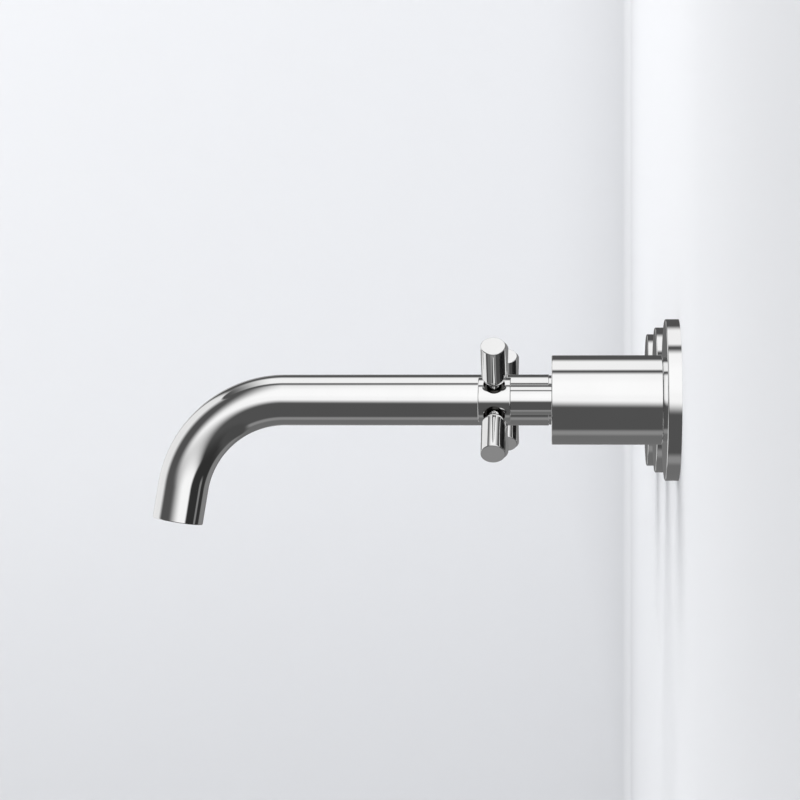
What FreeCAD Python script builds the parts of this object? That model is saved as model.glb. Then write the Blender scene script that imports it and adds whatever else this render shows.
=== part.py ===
import FreeCAD, Part
import math
import os
from types import SimpleNamespace

import Sketcher

# Wall-mounted basin mixer in three holes: hot valve, bent spout, cold valve.
# Millimetres. The origin is on the finished wall at the spout's axis, +Z is up, and the wall is
# the plane Y = 0 with the room on the -Y side. Every turned piece is drawn as an outline of
# (radius, station): its own Z axis points out of the wall, and a station is the distance from
# the wall's face, negative inside the wall.

Vector = FreeCAD.Vector
Rotation = FreeCAD.Rotation
Placement = FreeCAD.Placement

DRIVING_SIZES = [
    # Layout
    ("valve_offset", 100.0, "spout axis to each valve axis"),
    ("thread_clearance", 0.05, "radial gap in a screwed joint"),
    ("running_clearance", 0.06, "radial gap round a turning shaft"),
    # Wall plates and their seals
    ("plate_radius", 32.0, "wall plate, outside"),
    ("plate_thickness", 5.4, "wall plate"),
    ("plate_edge", 0.5, "rounding of the plate's front edge"),
    ("plate_bore_gap", 0.35, "plate bore round its nipple"),
    ("plate_rim", 2.5, "plate outside the groove of its seal"),
    ("seal_width", 7.4, "wall seal, across its ring"),
    ("seal_thickness", 2.0, "wall seal"),
    ("seal_side_gap", 0.1, "seal to the sides of its groove"),
    # Sleeves
    ("sleeve_radius", 17.75, "sleeve, outside"),
    ("sleeve_front", 50.0, "wall to the sleeve's front face"),
    ("sleeve_front_wall", 4.0, "thickness of the sleeve's front"),
    ("sleeve_wall", 2.2, "thickness of the sleeve's side"),
    ("sleeve_edge", 0.4, "rounding of the sleeve's front edge"),
    ("shadow_width", 1.1, "groove between sleeve and plate"),
    ("shadow_depth", 0.8, "depth of that groove"),
    ("shadow_rounding", 0.4, "rounding of that groove's corners, a share of its depth"),
    # Nipples
    ("nipple_ledge", 1.55, "ledge in the sleeve beside the nipple's thread"),
    ("nipple_wall", 3.0, "valve nipple, wall"),
    ("nipple_front", 22.0, "wall to the nipple's front end"),
    ("nipple_end_gap", 0.3, "nipple end to the step in the sleeve"),
    ("slot_width", 4.0, "spanner slot in the valve nipple"),
    ("slot_depth", 3.0, "spanner slot"),
    # Concealed body
    ("boss_wall", 2.95, "metal of a boss round the nipple's thread"),
    ("boss_depth", 6.0, "wall's face to the boss's front face"),
    ("shoulder_depth", 20.0, "wall's face to the cartridge shoulder"),
    ("seat_depth", 41.0, "wall's face to the seat of the seal"),
    ("chamber_back", 1.5, "inlet stub to the back of its chamber"),
    ("outlet_floor", 4.0, "waterway to the back of the outlet boss"),
    ("chamber_bore", 11.6, "bore round the cartridge's lower end"),
    ("cross_radius", 9.0, "cross tube, outside"),
    ("cross_bore", 6.0, "cross tube, waterway"),
    ("cross_depth", 28.0, "wall's face to the cross tube's axis"),
    ("outlet_bore", 8.0, "waterway behind the spout nipple"),
    ("inlet_radius", 13.5, "inlet stub, outside"),
    ("inlet_thread", 9.32, "inlet thread, wall radius"),
    ("inlet_thread_length", 16.0, "inlet thread"),
    ("inlet_waterway", 7.0, "waterway behind the inlet thread"),
    ("seat_waterway", 7.6, "waterway behind the seat"),
    ("inlet_drop", 38.0, "valve axis to the inlet's mouth"),
    ("inlet_offset", 8.0, "seat to the inlet's axis"),
    ("ear_offset", 25.0, "valve axis to the fixing hole"),
    ("ear_radius", 7.0, "fixing ear, round end"),
    ("ear_thickness", 5.0, "fixing ear"),
    ("ear_depth", 12.0, "wall's face to the ear's front"),
    ("ear_hole", 2.75, "fixing hole"),
    # Cartridge
    ("flange_gap", 0.85, "thread bore round the cartridge flange"),
    ("flange_thickness", 4.0, "cartridge flange"),
    ("cartridge_gap", 0.3, "chamber bore round the cartridge"),
    ("cartridge_wall", 1.7, "cartridge round the discs"),
    ("cartridge_end_gap", 0.3, "cartridge end to the seat"),
    ("disc_gap", 0.2, "cartridge bore round the discs"),
    ("chamber_roof", 1.0, "top of the disc bore above the shoulder"),
    ("neck_radius", 8.5, "cartridge neck"),
    ("neck_front", 10.0, "wall to the end of the neck"),
    ("window_radius", 3.5, "side window of the cartridge"),
    ("window_depth", 25.2, "wall's face to the window's axis"),
    ("seat_seal_bore", 5.5, "seat seal, inside"),
    ("seat_seal_thickness", 3.0, "seat seal"),
    ("fixed_disc_thickness", 3.5, "fixed disc"),
    ("moving_disc_thickness", 3.4, "moving disc"),
    ("disc_film", 0.05, "gap between the two discs"),
    ("port_radius", 2.8, "port in a disc"),
    ("port_offset", 5.2, "axis to the port's centre"),
    ("foot_gap", 0.6, "cartridge bore round the spindle's drive foot"),
    ("foot_thickness", 2.5, "drive foot"),
    ("key_length", 12.6, "drive key under the foot"),
    ("key_width", 3.0, "drive key"),
    ("key_height", 1.3, "drive key"),
    ("key_clearance", 0.1, "slot round the drive key"),
    ("spindle_radius", 3.5, "spindle shaft"),
    ("collar_radius", 6.0, "thrust collar"),
    ("collar_thickness", 2.4, "thrust collar"),
    ("axial_clearance", 0.1, "end float of the spindle"),
    ("spindle_ring_section", 0.45, "section radius of a spindle o-ring"),
    ("spindle_ring_first", -9.0, "station of the inner spindle o-ring"),
    ("spindle_ring_second", 2.0, "station of the outer spindle o-ring"),
    ("snap_ring_radius", 5.0, "snap ring, outside"),
    ("snap_ring_thickness", 0.9, "snap ring"),
    ("snap_groove_radius", 2.8, "groove under the snap ring"),
    ("snap_ring_mouth", 3.0, "opening of the snap ring"),
    ("square_gap", 1.0, "snap ring to the spindle's square"),
    ("square_length", 10.0, "square end of the spindle"),
    ("square_side", 4.8, "square end, across flats"),
    ("square_clearance", 0.05, "socket round the square, each side"),
    # Spindle extension and stem guide
    ("extension_radius", 4.0, "spindle extension, rod"),
    ("extension_socket_radius", 5.5, "spindle extension, socket end"),
    ("extension_socket_front", 26.0, "wall to the end of the socket part"),
    ("extension_end", 4.2, "extension's front end to the hub's back face"),
    ("guide_wall", 2.5, "stem guide, thickness round the stem"),
    ("guide_tail", 2.5, "stem guide, length behind the sleeve's front"),
    ("guide_disc_width", 6.3, "stem guide, width of its front disc"),
    ("guide_disc_thickness", 1.5, "stem guide, front disc"),
    ("guide_recess", 0.5, "sleeve's front face to the guide"),
    # Handle
    ("arm_angle", 45.0, "turn of the arms from level when shut"),
    ("stem_radius", 5.9, "handle stem"),
    ("stem_back", 38.0, "wall to the inner end of the stem"),
    ("hub_radius", 8.9, "handle hub"),
    ("hub_back", 66.2, "wall to the hub's back face"),
    ("hub_length", 13.0, "handle hub"),
    ("hub_edge", 0.4, "rounding of the hub's edges"),
    ("arm_radius", 4.9, "handle arm and the dome at its root"),
    ("arm_reach", 29.8, "valve axis to the arm's end"),
    ("arm_edge", 0.3, "rounding of the arm's end"),
    ("arm_gap", 5.45, "hub's side to the arm's full thickness"),
    ("arm_neck_radius", 3.0, "neck of the arm"),
    ("arm_sink", 4.1, "hub's side to the inner end of the neck"),
    ("arm_hole_depth", 0.6, "end of the neck to the bottom of its hole"),
    ("arm_recess_radius", 4.3, "recess round the neck in the hub"),
    ("arm_recess_depth", 1.6, "hub's side to the floor of that recess"),
    ("screw_radius", 1.5, "handle screw, shank"),
    ("screw_clearance", 0.15, "hub bore round the shank"),
    ("screw_rise", 3.8, "hub's back face to the underside of the screw head"),
    ("screw_length", 18.0, "handle screw, shank"),
    ("screw_head_radius", 2.75, "handle screw, head"),
    ("screw_head_height", 2.6, "handle screw, head"),
    ("screw_head_gap", 0.35, "hub bore round the screw head"),
    ("screw_hole_spare", 2.0, "screw's tip to the bottom of its hole"),
    ("key_socket_radius", 1.44, "hexagon socket, over its corners"),
    ("key_socket_depth", 1.5, "hexagon socket"),
    ("cap_radius", 5.2, "index cap"),
    ("cap_thickness", 2.3, "index cap"),
    ("cap_gap", 0.1, "hub bore round the index cap"),
    ("dot_radius", 1.6, "coloured dot"),
    ("dot_thickness", 0.6, "coloured dot"),
    ("dot_gap", 0.02, "cap bore round the dot"),
    # Spout
    ("spout_radius", 11.3, "spout tube, outside"),
    ("spout_wall", 1.7, "spout tube, wall"),
    ("spout_neck_step", 0.37, "step down to the spout's end in its sleeve"),
    ("spout_neck_clearance", 0.05, "sleeve bore round the spout's neck"),
    ("spout_gap", 1.9, "groove between sleeve and spout"),
    ("spout_run", 169.8, "wall to the start of the bend"),
    ("bend_radius", 46.6, "bend, on the centre line"),
    ("bend_angle", 80.6, "turn of the bend, in degrees"),
    ("spout_end", 15.5, "straight end after the bend"),
    ("spout_edge", 0.35, "rounding of the spout's edges"),
    ("mouth_wall", 1.0, "spout wall round the aerator"),
    ("spigot_gap", 0.15, "spout bore round the nipple's front end"),
    ("spigot_lead", 5.0, "outer o-ring to the nipple's front end"),
    ("spout_nipple_bore", 6.5, "waterway of the spout nipple"),
    ("outlet_thread", 10.4, "spout nipple, rear thread"),
    ("outlet_thread_length", 15.0, "spout nipple, rear thread"),
    ("spout_ring_section", 0.8, "section radius of a spout o-ring"),
    ("spout_ring_first", 30.0, "station of the inner spout o-ring"),
    ("spout_ring_second", 41.0, "station of the outer spout o-ring"),
    ("ring_gap", 0.02, "gap left under and over an o-ring"),
    ("ring_side_gap", 0.08, "gap left beside an o-ring"),
    ("grub_station", 35.5, "wall to the grub screw"),
    ("grub_radius", 2.0, "grub screw"),
    ("grub_recess", 0.77, "sleeve's side to the grub screw's end"),
    # Aerator
    ("aerator_gap", 0.1, "aerator housing to the mouth"),
    ("aerator_recess", 0.8, "outlet's edge to the housing"),
    ("aerator_length", 10.7, "aerator housing"),
    ("aerator_wall", 1.8, "aerator housing, wall"),
    ("aerator_lip_width", 0.8, "lip that holds the insert"),
    ("aerator_lip", 1.4, "thickness of that lip"),
    ("insert_gap", 0.1, "insert to the housing"),
    ("insert_length", 7.3, "aerator insert"),
    ("insert_rim", 1.0, "rim of the insert"),
    ("insert_plate", 1.5, "holed plate of the insert"),
    ("insert_plate_rise", 2.3, "lip to the holed plate"),
    ("insert_hole", 0.8, "hole in the insert"),
    ("insert_margin", 1.6, "insert's rim to the outer holes"),
    ("insert_spacing", 2.6, "between the insert's rings of holes"),
    ("screen_thickness", 0.4, "screen"),
    ("screen_hole", 0.5, "hole in the screen"),
    ("screen_margin", 1.6, "screen's edge to the outer holes"),
    ("screen_spacing", 2.1, "between the screen's rings of holes"),
    ("washer_overhang", 0.4, "washer inside the housing's bore"),
    ("washer_thickness", 1.5, "washer"),
    # Cutting
    ("cut_spare", 1.5, "length that a cut runs past the metal"),
]

ARM_COUNT = 4
PORT_COUNT = 2
INSERT_HOLES = (12, 6)
SCREEN_HOLES = (20, 14, 7)
SOCKET_SIDES = 6
SOCKET_TURN = 0.25
EDGE_MATCH = 0.001


class Size:
    """A size: its number, and the sheet formula that it follows."""

    def __init__(self, number, formula):
        self.number = number
        self.formula = formula

    def join(self, other, mark, number):
        text = other.formula if isinstance(other, Size) else repr(float(other))
        return Size(number, "(%s %s %s)" % (self.formula, mark, text))

    def __add__(self, other):
        return self.join(other, "+", self.number + number_of(other))

    def __sub__(self, other):
        return self.join(other, "-", self.number - number_of(other))

    def __mul__(self, other):
        return self.join(other, "*", self.number * number_of(other))

    def __neg__(self):
        return Size(-self.number, "(0 - %s)" % self.formula)


def number_of(size):
    return size.number if isinstance(size, Size) else float(size)


def sine(angle):
    return Size(math.sin(math.radians(angle.number)), "sin(%s)" % angle.formula)


def cosine(angle):
    return Size(math.cos(math.radians(angle.number)), "cos(%s)" % angle.formula)


doc = FreeCAD.newDocument("basin_mixer")
sheet = doc.addObject("Spreadsheet::Sheet", "Sizes")
for row, (name, number, note) in enumerate(DRIVING_SIZES, 1):
    sheet.set("A%d" % row, note)
    sheet.set("B%d" % row, str(number))
    sheet.setAlias("B%d" % row, name)
doc.recompute()
S = SimpleNamespace(**{name: Size(number, "Sizes." + name) for name, number, note in DRIVING_SIZES})

NODES = []
OUT_OF_WALL = Rotation(Vector(1, 0, 0), 90)


# Helpers that draw, turn, cut and place


def new_body(label):
    body = doc.addObject("PartDesign::Body", label)
    body.Label = label
    NODES.append(body)
    return body


def bind(feature, path, size):
    """Ties one property to the sheet. A zero is left as it is."""
    if isinstance(size, Size):
        feature.setExpression(path, size.formula)


def place(feature, x=0, y=0, z=0, turn=OUT_OF_WALL):
    feature.Placement = Placement(Vector(), turn)
    for axis, size in (("x", x), ("y", y), ("z", z)):
        bind(feature, "Placement.Base." + axis, size)
    return feature


def datum(body, role):
    return [item for item in body.Origin.OriginFeatures if item.Role == role][0]


def new_sketch(body, name, role, station=0, turn=None):
    sketch = body.newObject("Sketcher::SketchObject", name)
    sketch.AttachmentSupport = [(datum(body, role), "")]
    sketch.MapMode = "FlatFace"
    if turn is not None:
        sketch.AttachmentOffset = Placement(Vector(), turn)
    bind(sketch, "AttachmentOffset.Base.z", station)
    return sketch


def pin_point(sketch, geometry, end, x, y):
    for kind, axis, size in (("DistanceX", -2, x), ("DistanceY", -1, y)):
        if number_of(size) == 0:
            sketch.addConstraint(Sketcher.Constraint("PointOnObject", geometry, end, axis))
        else:
            fix = Sketcher.Constraint(kind, -1, 1, geometry, end, number_of(size))
            index = sketch.addConstraint(fix)
            bind(sketch, "Constraints[%d]" % index, size)


def draw_outline(sketch, points):
    """A closed outline of straight lines through points held by their two sizes."""
    first = sketch.GeometryCount
    corners = [Vector(number_of(x), number_of(y), 0) for x, y in points]
    for i, corner in enumerate(corners):
        line = Part.LineSegment(corner, corners[(i + 1) % len(corners)])
        sketch.addGeometry(line, False)
    for i, (x, y) in enumerate(points):
        after = first + (i + 1) % len(points)
        sketch.addConstraint(Sketcher.Constraint("Coincident", first + i, 2, after, 1))
        pin_point(sketch, first + i, 1, x, y)


def draw_circle(sketch, radius, x=0, y=0):
    centre = Vector(number_of(x), number_of(y), 0)
    circle = Part.Circle(centre, Vector(0, 0, 1), radius.number)
    index = sketch.addGeometry(circle, False)
    pin_point(sketch, index, 3, x, y)
    fix = sketch.addConstraint(Sketcher.Constraint("Radius", index, radius.number))
    bind(sketch, "Constraints[%d]" % fix, radius)


def draw_box(sketch, width, height):
    """A rectangle centred on the sketch's origin."""
    x, y = width * 0.5, height * 0.5
    draw_outline(sketch, [(-x, -y), (x, -y), (x, y), (-x, y)])


def draw_hexagon(sketch, radius):
    """A hexagon turned by a part of one side, so that no corner lies on an axis."""
    turns = [math.radians(360 / SOCKET_SIDES * (i + SOCKET_TURN)) for i in range(SOCKET_SIDES)]
    draw_outline(sketch, [(radius * math.cos(a), radius * math.sin(a)) for a in turns])


def turned(body, name, outline):
    """Turns an outline of (radius, station) about the body's own Z axis."""
    sketch = new_sketch(body, name + "_outline", "XZ_Plane")
    draw_outline(sketch, outline)
    feature = body.newObject("PartDesign::Revolution", name)
    feature.Profile = sketch
    feature.ReferenceAxis = (sketch, ["V_Axis"])
    feature.Angle = 360
    return feature


def ring(inner, outer, back, front):
    return [(inner, back), (outer, back), (outer, front), (inner, front)]


def pushed(body, name, sketch, length, kind="Pad", towards_back=False):
    """Pads or pockets a sketch. A pocket cuts towards the back unless it is told otherwise."""
    feature = body.newObject("PartDesign::" + kind, name)
    feature.Profile = sketch
    feature.Reversed = towards_back if kind == "Pad" else not towards_back
    bind(feature, "Length", length)
    return feature


def cut(body, name, sketch, depth, towards_back=True):
    """Pockets a sketch and makes sure that metal was taken away."""
    doc.recompute()
    before = body.Shape.Volume
    feature = pushed(body, name, sketch, depth, "Pocket", towards_back)
    doc.recompute()
    if feature.Shape.Volume >= before:
        raise ValueError(name + " cuts nothing")
    return feature


def rod(body, name, radius, length, x=0, y=0, z=0, turn=Rotation(), remove=False):
    """A cylinder added to or taken from a body. It runs along its own Z axis."""
    kind = "PartDesign::SubtractiveCylinder" if remove else "PartDesign::AdditiveCylinder"
    feature = body.newObject(kind, name)
    bind(feature, "Radius", radius)
    bind(feature, "Height", length)
    place(feature, x, y, z, turn)
    return feature


def around(body, name, feature, count):
    """Repeats a cut evenly about the body's own Z axis."""
    pattern = body.newObject("PartDesign::PolarPattern", name)
    pattern.Originals = [feature]
    pattern.Axis = (datum(body, "Z_Axis"), [""])
    pattern.Angle = 360
    pattern.Occurrences = count
    body.Tip = pattern
    return pattern


def round_rims(body, name, rims, radius):
    """Rounds the circular edges that lie at the given (radius, station) pairs."""
    doc.recompute()
    base = body.Tip
    edges = []
    for index, edge in enumerate(base.Shape.Edges, 1):
        curve = edge.Curve
        if not isinstance(curve, Part.Circle):
            continue
        for rim, station in rims:
            off = abs(curve.Radius - rim.number) + abs(curve.Center.z - station.number)
            if off < EDGE_MATCH and abs(curve.Axis.z) > 1 - EDGE_MATCH:
                edges.append("Edge%d" % index)
    if len(edges) != len(rims):
        raise ValueError("%s finds %d of %d edges" % (name, len(edges), len(rims)))
    fillet = body.newObject("PartDesign::Fillet", name)
    fillet.Base = (base, edges)
    bind(fillet, "Radius", radius)
    return fillet


# Sizes that several pieces share

boss_face = -S.boss_depth
shoulder = -S.shoulder_depth
seat = -S.seat_depth
seal_outer = S.plate_radius - S.plate_rim - S.seal_side_gap
seal_inner = seal_outer - S.seal_width
sleeve_hollow = S.sleeve_radius - S.sleeve_wall
nipple_radius = sleeve_hollow - S.nipple_ledge
nipple_bore = nipple_radius - S.nipple_wall
thread_bore = nipple_radius + S.thread_clearance
boss_radius = thread_bore + S.boss_wall
sleeve_step = S.nipple_front + S.nipple_end_gap
shadow_floor = S.sleeve_radius - S.shadow_depth
shadow_front = S.plate_thickness + S.shadow_width
sleeve_roof = S.sleeve_front - S.sleeve_front_wall
guide_bore = S.stem_radius + S.running_clearance
guide_radius = guide_bore + S.guide_wall
guide_disc_radius = guide_radius + S.guide_disc_width
guide_front = S.sleeve_front - S.guide_recess
guide_disc_back = guide_front - S.guide_disc_thickness
hub_front = S.hub_back + S.hub_length
screw_seat = S.hub_back + S.screw_rise
screw_tip = screw_seat - S.screw_length
cap_seat = hub_front - S.cap_thickness
arm_station = S.hub_back + S.hub_length * 0.5
extension_bore = S.extension_radius + S.thread_clearance
extension_front = S.hub_back - S.extension_end
flange_face = shoulder + S.flange_thickness
cartridge_radius = S.chamber_bore - S.cartridge_gap
disc_bore = cartridge_radius - S.cartridge_wall
disc_radius = disc_bore - S.disc_gap
spindle_bore = S.spindle_radius + S.running_clearance
fixed_disc_back = seat + S.seat_seal_thickness
moving_disc_back = fixed_disc_back + S.fixed_disc_thickness + S.disc_film
foot_back = moving_disc_back + S.moving_disc_thickness
snap_back = S.neck_front + S.axial_clearance
snap_front = snap_back + S.snap_ring_thickness
square_start = snap_front + S.square_gap
inlet_depth = S.seat_depth + S.inlet_offset
spout_bore = S.spout_radius - S.spout_wall
spout_neck = S.spout_radius - S.spout_neck_step
spout_neck_bore = spout_neck + S.spout_neck_clearance
spout_start = S.sleeve_front + S.spout_gap
mouth_radius = S.spout_radius - S.mouth_wall
mouth_depth = S.aerator_recess + S.aerator_length + S.washer_thickness
outlet_station = S.spout_run + S.bend_radius * sine(S.bend_angle) + S.spout_end * cosine(S.bend_angle)
outlet_fall = S.bend_radius - S.bend_radius * cosine(S.bend_angle) + S.spout_end * sine(S.bend_angle)


# Pieces that stand on the wall


def wall_plate(label, x):
    body = new_body(label)
    bore = nipple_radius + S.plate_bore_gap
    inner = seal_inner - S.seal_side_gap
    outer = seal_outer + S.seal_side_gap
    turned(body, label + "_disc", [
        (bore, 0), (inner, 0), (inner, S.seal_thickness), (outer, S.seal_thickness), (outer, 0),
        (S.plate_radius, 0), (S.plate_radius, S.plate_thickness), (bore, S.plate_thickness),
    ])
    round_rims(body, label + "_edge", [(S.plate_radius, S.plate_thickness)], S.plate_edge)
    place(body, x)


def wall_seal(label, x):
    body = new_body(label)
    turned(body, label + "_ring", [
        (seal_inner, 0), (seal_outer, 0), (seal_outer, S.seal_thickness),
        (seal_inner, S.seal_thickness),
    ])
    place(body, x)


def sleeve_outside():
    """The outside of every sleeve, from its seat on the plate to its front face."""
    return [
        (thread_bore, S.plate_thickness), (shadow_floor, S.plate_thickness),
        (shadow_floor, shadow_front), (S.sleeve_radius, shadow_front),
        (S.sleeve_radius, S.sleeve_front),
    ]


def round_sleeve(body, label):
    """Rounds the front edge of a sleeve and the corners of its shadow groove."""
    round_rims(body, label + "_edge", [(S.sleeve_radius, S.sleeve_front)], S.sleeve_edge)
    corners = [(shadow_floor, shadow_front), (S.sleeve_radius, shadow_front)]
    round_rims(body, label + "_groove", corners, S.shadow_depth * S.shadow_rounding)


def valve_sleeve(label, x):
    body = new_body(label)
    mouth = guide_disc_radius + S.thread_clearance
    hole = guide_radius + S.thread_clearance
    turned(body, label + "_shell", sleeve_outside() + [
        (mouth, S.sleeve_front), (mouth, guide_disc_back), (hole, guide_disc_back),
        (hole, sleeve_roof), (sleeve_hollow, sleeve_roof), (sleeve_hollow, sleeve_step),
        (thread_bore, sleeve_step),
    ])
    round_sleeve(body, label)
    place(body, x)


def stem_guide(label, x):
    body = new_body(label)
    back = sleeve_roof - S.guide_tail
    turned(body, label + "_bush", [
        (guide_bore, back), (guide_radius, back), (guide_radius, guide_disc_back),
        (guide_disc_radius, guide_disc_back), (guide_disc_radius, guide_front),
        (guide_bore, guide_front),
    ])
    place(body, x)


def valve_nipple(label, x):
    body = new_body(label)
    turned(body, label + "_tube", ring(nipple_bore, nipple_radius, flange_face, S.nipple_front))
    slot = new_sketch(body, label + "_slot_outline", "XY_Plane", S.nipple_front)
    draw_box(slot, (nipple_radius + S.cut_spare) * 2, S.slot_width)
    cut(body, label + "_slot", slot, S.slot_depth)
    place(body, x)


# Valve works, fixed and turning


def cartridge_body(label, x):
    body = new_body(label)
    end = seat + S.cartridge_end_gap
    roof = shoulder + S.chamber_roof
    flange = thread_bore - S.flange_gap
    turned(body, label + "_turning", [
        (disc_bore, end), (cartridge_radius, end), (cartridge_radius, shoulder),
        (flange, shoulder), (flange, flange_face), (S.neck_radius, flange_face),
        (S.neck_radius, S.neck_front), (spindle_bore, S.neck_front), (spindle_bore, roof),
        (disc_bore, roof),
    ])
    across = Rotation(Vector(0, 1, 0), 90)
    reach = cartridge_radius + S.cut_spare
    rod(body, label + "_window", S.window_radius, reach * 2, -reach, 0, -S.window_depth, across, True)
    place(body, x)


def seat_seal(label, x):
    body = new_body(label)
    turned(body, label + "_ring", ring(S.seat_seal_bore, disc_radius, seat, fixed_disc_back))
    place(body, x)


def disc_ports(body, label, front, depth, x, y):
    ports = new_sketch(body, label + "_port_outline", "XY_Plane", front)
    draw_circle(ports, S.port_radius, x, y)
    return around(body, label + "_ports", cut(body, label + "_port", ports, depth), PORT_COUNT)


def fixed_disc(label, x):
    body = new_body(label)
    front = moving_disc_back - S.disc_film
    turned(body, label + "_plate", [
        (0, fixed_disc_back), (disc_radius, fixed_disc_back), (disc_radius, front), (0, front),
    ])
    disc_ports(body, label, front, S.fixed_disc_thickness, 0, S.port_offset)
    place(body, x)


def moving_disc(label, x):
    body = new_body(label)
    radius = disc_radius - S.running_clearance
    turned(body, label + "_plate", [
        (0, moving_disc_back), (radius, moving_disc_back), (radius, foot_back), (0, foot_back),
    ])
    disc_ports(body, label, foot_back, S.moving_disc_thickness, S.port_offset, 0)
    slot = new_sketch(body, label + "_slot_outline", "XY_Plane", foot_back)
    draw_box(slot, S.key_width + S.key_clearance * 2, S.key_length + S.key_clearance * 2)
    cut(body, label + "_slot", slot, S.key_height + S.key_clearance)
    place(body, x)


def ring_centre_radius(bore, section):
    """Centre of an o-ring's section where the ring fills its groove out to the bore."""
    return bore - section - S.ring_gap


def ring_groove(radius, bore, section, station):
    """Four outline points of the groove that an o-ring lies in."""
    floor = ring_centre_radius(bore, section) - section - S.ring_gap
    half = section + S.ring_side_gap
    back, front = station - half, station + half
    return [(radius, back), (floor, back), (floor, front), (radius, front)]


def cartridge_spindle(label, x):
    body = new_body(label)
    shaft = S.spindle_radius
    foot = disc_bore - S.foot_gap
    foot_front = foot_back + S.foot_thickness
    collar_front = shoulder + S.chamber_roof - S.axial_clearance
    collar_back = collar_front - S.collar_thickness
    section = S.spindle_ring_section
    turned(body, label + "_turning", [
        (0, foot_back), (foot, foot_back), (foot, foot_front), (shaft, foot_front),
        (shaft, collar_back), (S.collar_radius, collar_back), (S.collar_radius, collar_front),
        (shaft, collar_front),
    ] + ring_groove(shaft, spindle_bore, section, S.spindle_ring_first)
      + ring_groove(shaft, spindle_bore, section, S.spindle_ring_second) + [
        (shaft, snap_back), (S.snap_groove_radius, snap_back), (S.snap_groove_radius, snap_front),
        (shaft, snap_front), (shaft, square_start), (0, square_start),
    ])
    square = new_sketch(body, label + "_square_outline", "XY_Plane", square_start)
    draw_box(square, S.square_side, S.square_side)
    pushed(body, label + "_square", square, S.square_length)
    key = new_sketch(body, label + "_key_outline", "XY_Plane", foot_back)
    draw_box(key, S.key_width, S.key_length)
    pushed(body, label + "_key", key, S.key_height, "Pad", True)
    disc_ports(body, label, foot_front, S.foot_thickness, S.port_offset, 0)
    place(body, x)


def o_rings(label, x, centre_radius, section, stations):
    """Two o-rings in one node."""
    rings = []
    for count, station in enumerate(stations, 1):
        torus = doc.addObject("Part::Torus", "%s_%d" % (label, count))
        bind(torus, "Radius1", centre_radius)
        bind(torus, "Radius2", section)
        place(torus, x, -station, 0)
        rings.append(torus)
    pair = doc.addObject("Part::Compound", label)
    pair.Label = label
    pair.Links = rings
    NODES.append(pair)


def snap_ring(label, x):
    body = new_body(label)
    inner = S.snap_groove_radius + S.thread_clearance
    turned(body, label + "_ring", ring(inner, S.snap_ring_radius, snap_back, snap_front))
    mouth = new_sketch(body, label + "_mouth_outline", "XY_Plane", snap_front)
    half = S.snap_ring_mouth * 0.5
    far = S.snap_ring_radius + S.cut_spare
    draw_outline(mouth, [(0, -half), (far, -half), (far, half), (0, half)])
    cut(body, label + "_mouth", mouth, S.snap_ring_thickness)
    place(body, x)


def spindle_extension(label, x):
    body = new_body(label)
    turned(body, label + "_turning", [
        (0, square_start), (S.extension_socket_radius, square_start),
        (S.extension_socket_radius, S.extension_socket_front),
        (S.extension_radius, S.extension_socket_front), (S.extension_radius, extension_front),
        (0, extension_front),
    ])
    depth = S.square_length + S.nipple_end_gap
    socket = new_sketch(body, label + "_socket_outline", "XY_Plane", square_start + depth)
    side = S.square_side + S.square_clearance * 2
    draw_box(socket, side, side)
    cut(body, label + "_socket", socket, depth)
    hole = new_sketch(body, label + "_hole_outline", "XY_Plane", extension_front)
    draw_circle(hole, S.screw_radius + S.thread_clearance)
    cut(body, label + "_hole", hole, extension_front - screw_tip + S.screw_hole_spare)
    place(body, x)


# Handle: everything here turns with the user's hand

arm_turn = OUT_OF_WALL.multiply(Rotation(Vector(0, 0, 1), S.arm_angle.number))
arm_root = S.hub_radius - S.arm_sink


def handle_hub(label, x):
    body = new_body(label)
    head_bore = S.screw_head_radius + S.screw_head_gap
    shank_bore = S.screw_radius + S.screw_clearance
    cap_bore = S.cap_radius + S.cap_gap
    turned(body, label + "_turning", [
        (extension_bore, S.stem_back), (S.stem_radius, S.stem_back), (S.stem_radius, S.hub_back),
        (S.hub_radius, S.hub_back), (S.hub_radius, hub_front), (cap_bore, hub_front),
        (cap_bore, cap_seat), (head_bore, cap_seat), (head_bore, screw_seat),
        (shank_bore, screw_seat), (shank_bore, extension_front), (extension_bore, extension_front),
    ])
    rims = [(S.hub_radius, S.hub_back), (S.hub_radius, hub_front)]
    round_rims(body, label + "_edges", rims, S.hub_edge)
    sideways = Rotation(Vector(0, 1, 0), 90)
    root = arm_root - S.arm_hole_depth
    floor = S.hub_radius - S.arm_recess_depth
    neck_bore = S.arm_neck_radius + S.thread_clearance
    hole = rod(body, label + "_hole", neck_bore, S.hub_radius, root, 0, arm_station, sideways, True)
    around(body, label + "_holes", hole, ARM_COUNT)
    recess = rod(body, label + "_recess", S.arm_recess_radius, S.hub_radius,
                 floor, 0, arm_station, sideways, True)
    around(body, label + "_recesses", recess, ARM_COUNT)
    place(body, x, 0, 0, arm_turn)


def handle_arm(label, x, place_in_turn):
    body = new_body(label)
    start = S.hub_radius + S.arm_gap
    turned(body, label + "_turning", [
        (0, arm_root), (S.arm_neck_radius, arm_root), (S.arm_neck_radius, start),
        (S.arm_radius, start), (S.arm_radius, S.arm_reach), (0, S.arm_reach),
    ])
    dome = body.newObject("PartDesign::AdditiveSphere", label + "_dome")
    bind(dome, "Radius", S.arm_radius)
    place(dome, 0, 0, start, Rotation())
    round_rims(body, label + "_end", [(S.arm_radius, S.arm_reach)], S.arm_edge)
    angle = S.arm_angle + 360 / ARM_COUNT * place_in_turn
    place(body, x, -arm_station, 0, Rotation(Vector(0, 1, 0), angle.number))
    bind(body, "Placement.Rotation.Angle", angle)


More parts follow.
